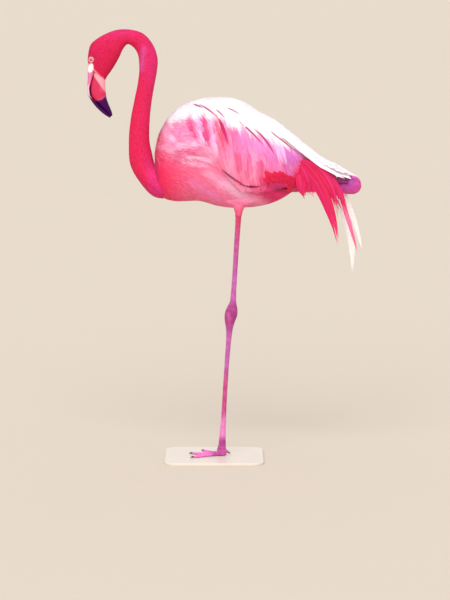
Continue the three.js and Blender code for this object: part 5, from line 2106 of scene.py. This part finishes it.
class FlamingoSettings(bpy.types.PropertyGroup):
    coat_depth: size("Coat depth", "How far the skin lies under the tips of the body plumage", 0.0024)
    face_depth: size("Face depth", "How far the skin lies under the plumage of the face", 0.001)
    head_gap: size("Head spacing", "Distance between the feathers of the head", 0.00137)
    neck_gap: size("Neck spacing", "Distance between the feathers of the neck", 0.0019)
    body_gap: size("Body spacing", "Distance between the feathers of the breast and belly", 0.0044)
    wing_gap: size("Wing spacing", "Distance between the small feathers of the folded wing", 0.0046)
    crimson: shade("Crimson", "Head and neck", 222, 28, 80)
    scarlet: shade("Scarlet", "The warmest red along the front of the neck", 228, 24, 75)
    # Breast is crimson painted brighter, to make up for the shade on the downward-facing underside.
    breast: shade("Breast", "The lower breast and the rear belly", 252, 34, 92)
    magenta: shade("Magenta", "The crown, the nape and the crook of the neck", 224, 44, 122)
    coral: shade("Coral", "Lower breast and wing edge", 248, 84, 128)
    salmon: shade("Salmon", "Belly and flank", 252, 122, 168)
    shoulder: shade("Shoulder", "The clear pink of the shoulder", 246, 130, 180)
    blush: shade("Blush", "The pale edges of the feathers", 252, 188, 220)
    # White is the painted highlight on the top of the back, the shoulder and the tail, and it also pales the
    # feathers' edges.
    white: shade("White", "The back and the long shoulder feathers", 255, 246, 251)
    cream: shade("Cream", "The frayed tips behind the wing", 255, 255, 248)
    lilac: shade("Lilac", "The rear of the wing", 232, 128, 198)
    red: shade("Red", "The feathers under and behind the wing", 226, 30, 68)
    rose_streak: shade("Rose streak", "Streaks between the long feathers", 218, 46, 122)
    red_streak: shade("Red streak", "The warm streak down the shoulder", 240, 66, 100)
    violet: shade("Violet", "The rear end of the wing", 214, 104, 196)
    orchid: shade("Orchid", "The middle of the wing's long feathers", 246, 140, 214)
    pale_lilac: shade("Pale lilac", "The palest long feathers", 246, 192, 240)
    # Wine and plum mostly paint shade: in the gaps between feathers, along the wing's lower edge, in the
    # ankle's creases and under the foot; wine also tips the flight feathers.
    wine: shade("Wine", "The narrow dark edges of the long feathers", 172, 26, 88)
    plum: shade("Plum", "The darkest edges and creases", 118, 22, 72)
    ink: shade("Ink", "Folded flight feathers", 40, 14, 30)
    foot: shade("Foot", "Toes and webs", 246, 118, 200)
    hock: shade("Hock", "The ankle joint", 176, 48, 136)
    hock_pink: shade("Hock rim", "The lighter sides of the folded ankle", 216, 92, 176)
    leg_low: shade("Lower shin", "The deeper bands of the shin", 204, 62, 134)
    lilac_skin: shade("Shin", "Bare skin of the leg", 202, 92, 174)
    shin_pale: shade("Pale shin", "The palest part of the leg above the foot", 236, 130, 200)
    knob: shade("Folded ankle", "The purple of the folded ankle", 224, 84, 204)
    knob_end: shade("Folded ankle's end", "The magenta end of the folded ankle", 224, 50, 150)
    leg_high: shade("Upper shin", "Bare skin above the ankle", 200, 78, 146)
    crimson_skin: shade("Thigh skin", "Bare skin under the thigh feathers", 226, 50, 98)
    bare_face: shade("Bare face", "Skin round the eye and along the bill's base", 250, 166, 178)
    lores: shade("Lores", "The white skin between the eye and the bill", 255, 240, 238)
    iris: shade("Iris", "The ring of the eye", 216, 62, 84)
    iris_edge: shade("Iris edge", "The outer ring of the eye", 240, 130, 140)
    pupil: shade("Pupil", "The dark of the eye", 14, 6, 10)
    bill_pale: shade("Bill ridge", "The pale ridge of the bill", 238, 190, 220)
    bill_rose: shade("Bill rose", "The lower half of the bill", 212, 52, 88)
    bill_coral: shade("Bill coral", "The pink of the upper half by the face", 246, 128, 168)
    bill_lilac: shade("Bill lilac", "The soft edge above the dark tip", 186, 92, 160)
    bill_tip: shade("Bill tip", "The dark hooked tip", 62, 2, 78)
    gape: shade("Gape", "The dark line along the gape and round the tip", 128, 6, 62)
    claw: shade("Claw", "Claws", 60, 26, 44)
    claw_pale: shade("Claw edge", "The worn lighter parts of the claws", 120, 70, 90)
    base: shade("Base", "Enamel of the stand", 229, 217, 202)
    floor: shade("Floor", "The plain floor", 213, 201, 185)
    surround: shade("Surround", "The pale light all round", 252, 252, 255)
    surround_strength: amount("Surround light", "Strength of the pale surround", 0.8, min=0.0)
    sun_strength: amount("Sun", "Strength of the soft sun", 2.1, min=0.0)
    sun_softness: amount(
        "Sun softness", "Angle that the soft sun spans", math.radians(50), min=0.0, subtype="ANGLE",
    )
    camera_distance: amount("Camera distance", "From the camera to the bird", 5.2, min=1.0, unit="LENGTH")
    camera_height: amount(
        "Camera elevation", "Angle that the camera looks down", math.radians(8), subtype="ANGLE",
    )


class FLAMINGO_OT_skin(bpy.types.Operator):
    """Build the one skin under the plumage, with the bare face, legs and feet"""

    bl_idname = "flamingo.skin"
    bl_label = "Skin"

    def execute(self, context):
        build_skin()
        return {"FINISHED"}


class FLAMINGO_OT_eyes(bpy.types.Operator):
    """Build both eyes"""

    bl_idname = "flamingo.eyes"
    bl_label = "Eyes"

    def execute(self, context):
        build_eyes()
        return {"FINISHED"}


class FLAMINGO_OT_bill(bpy.types.Operator):
    """Build both halves of the bill"""

    bl_idname = "flamingo.bill"
    bl_label = "Bill"

    def execute(self, context):
        build_bill()
        return {"FINISHED"}


class FLAMINGO_OT_claws(bpy.types.Operator):
    """Build the claws of both feet"""

    bl_idname = "flamingo.claws"
    bl_label = "Claws"

    def execute(self, context):
        build_claws()
        return {"FINISHED"}


class FLAMINGO_OT_head_plumage(bpy.types.Operator):
    """Lay the short feathers of the head"""

    bl_idname = "flamingo.head_plumage"
    bl_label = "Head plumage"

    def execute(self, context):
        build_head_plumage()
        return {"FINISHED"}


class FLAMINGO_OT_neck_plumage(bpy.types.Operator):
    """Lay the feathers of the neck"""

    bl_idname = "flamingo.neck_plumage"
    bl_label = "Neck plumage"

    def execute(self, context):
        build_neck_plumage()
        return {"FINISHED"}


class FLAMINGO_OT_body_plumage(bpy.types.Operator):
    """Lay the feathers of the breast, belly and back"""

    bl_idname = "flamingo.body_plumage"
    bl_label = "Body plumage"

    def execute(self, context):
        build_body_plumage()
        return {"FINISHED"}


class FLAMINGO_OT_wing_plumage(bpy.types.Operator):
    """Lay the coverts and long shoulder feathers of both wings"""

    bl_idname = "flamingo.wing_plumage"
    bl_label = "Wing plumage"

    def execute(self, context):
        build_wing_plumage()
        return {"FINISHED"}


class FLAMINGO_OT_flight_feathers(bpy.types.Operator):
    """Lay the dark folded flight feathers and the red feathers below them"""

    bl_idname = "flamingo.flight_feathers"
    bl_label = "Flight feathers"

    def execute(self, context):
        build_flight_feathers()
        build_underwing()
        return {"FINISHED"}


class FLAMINGO_OT_tertials(bpy.types.Operator):
    """Hang the long loose feathers behind both wings"""

    bl_idname = "flamingo.tertials"
    bl_label = "Drooping feathers"

    def execute(self, context):
        build_tertials()
        return {"FINISHED"}


class FLAMINGO_OT_tail(bpy.types.Operator):
    """Fan the tail feathers and lay their coverts"""

    bl_idname = "flamingo.tail"
    bl_label = "Tail"

    def execute(self, context):
        build_tail()
        return {"FINISHED"}


class FLAMINGO_OT_thigh_plumage(bpy.types.Operator):
    """Lay the short feathers of the thigh"""

    bl_idname = "flamingo.thigh_plumage"
    bl_label = "Thigh plumage"

    def execute(self, context):
        build_thigh_plumage()
        return {"FINISHED"}


class FLAMINGO_OT_base(bpy.types.Operator):
    """Give the stand its enamel"""

    bl_idname = "flamingo.base"
    bl_label = "Base"

    def execute(self, context):
        finish_base()
        return {"FINISHED"}


class FLAMINGO_OT_stage(bpy.types.Operator):
    """Set the floor, the light and the camera"""

    bl_idname = "flamingo.stage"
    bl_label = "Stage"

    def execute(self, context):
        build_stage()
        return {"FINISHED"}


OPERATORS = (
    FLAMINGO_OT_stage, FLAMINGO_OT_base, FLAMINGO_OT_skin, FLAMINGO_OT_eyes, FLAMINGO_OT_bill,
    FLAMINGO_OT_claws, FLAMINGO_OT_head_plumage, FLAMINGO_OT_neck_plumage, FLAMINGO_OT_body_plumage,
    FLAMINGO_OT_wing_plumage, FLAMINGO_OT_flight_feathers, FLAMINGO_OT_tertials, FLAMINGO_OT_tail,
    FLAMINGO_OT_thigh_plumage,
)


class FLAMINGO_PT_panel(bpy.types.Panel):
    """Sizes, colours and steps of the museum flamingo"""

    bl_label = "Museum flamingo"
    bl_idname = "FLAMINGO_PT_panel"
    bl_space_type = "VIEW_3D"
    bl_region_type = "UI"
    bl_category = "Flamingo"

    def draw(self, context):
        for name in FlamingoSettings.__annotations__:
            self.layout.prop(context.scene.flamingo, name)
        for operator in OPERATORS:
            self.layout.operator(operator.bl_idname)


def register():
    for kind in (FlamingoSettings, *OPERATORS, FLAMINGO_PT_panel):
        bpy.utils.register_class(kind)
    bpy.types.Scene.flamingo = bpy.props.PointerProperty(type=FlamingoSettings)


def unregister():
    del bpy.types.Scene.flamingo
    for kind in (FLAMINGO_PT_panel, *reversed(OPERATORS), FlamingoSettings):
        bpy.utils.unregister_class(kind)


def main():
    register()
    bpy.ops.flamingo.stage()
    bpy.ops.flamingo.base()
    bpy.ops.flamingo.skin()
    bpy.ops.flamingo.eyes()
    bpy.ops.flamingo.bill()
    bpy.ops.flamingo.claws()
    bpy.ops.flamingo.head_plumage()
    bpy.ops.flamingo.neck_plumage()
    bpy.ops.flamingo.body_plumage()
    bpy.ops.flamingo.wing_plumage()
    bpy.ops.flamingo.flight_feathers()
    bpy.ops.flamingo.tertials()
    bpy.ops.flamingo.tail()
    bpy.ops.flamingo.thigh_plumage()
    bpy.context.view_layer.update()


if __name__ == "__main__":
    main()
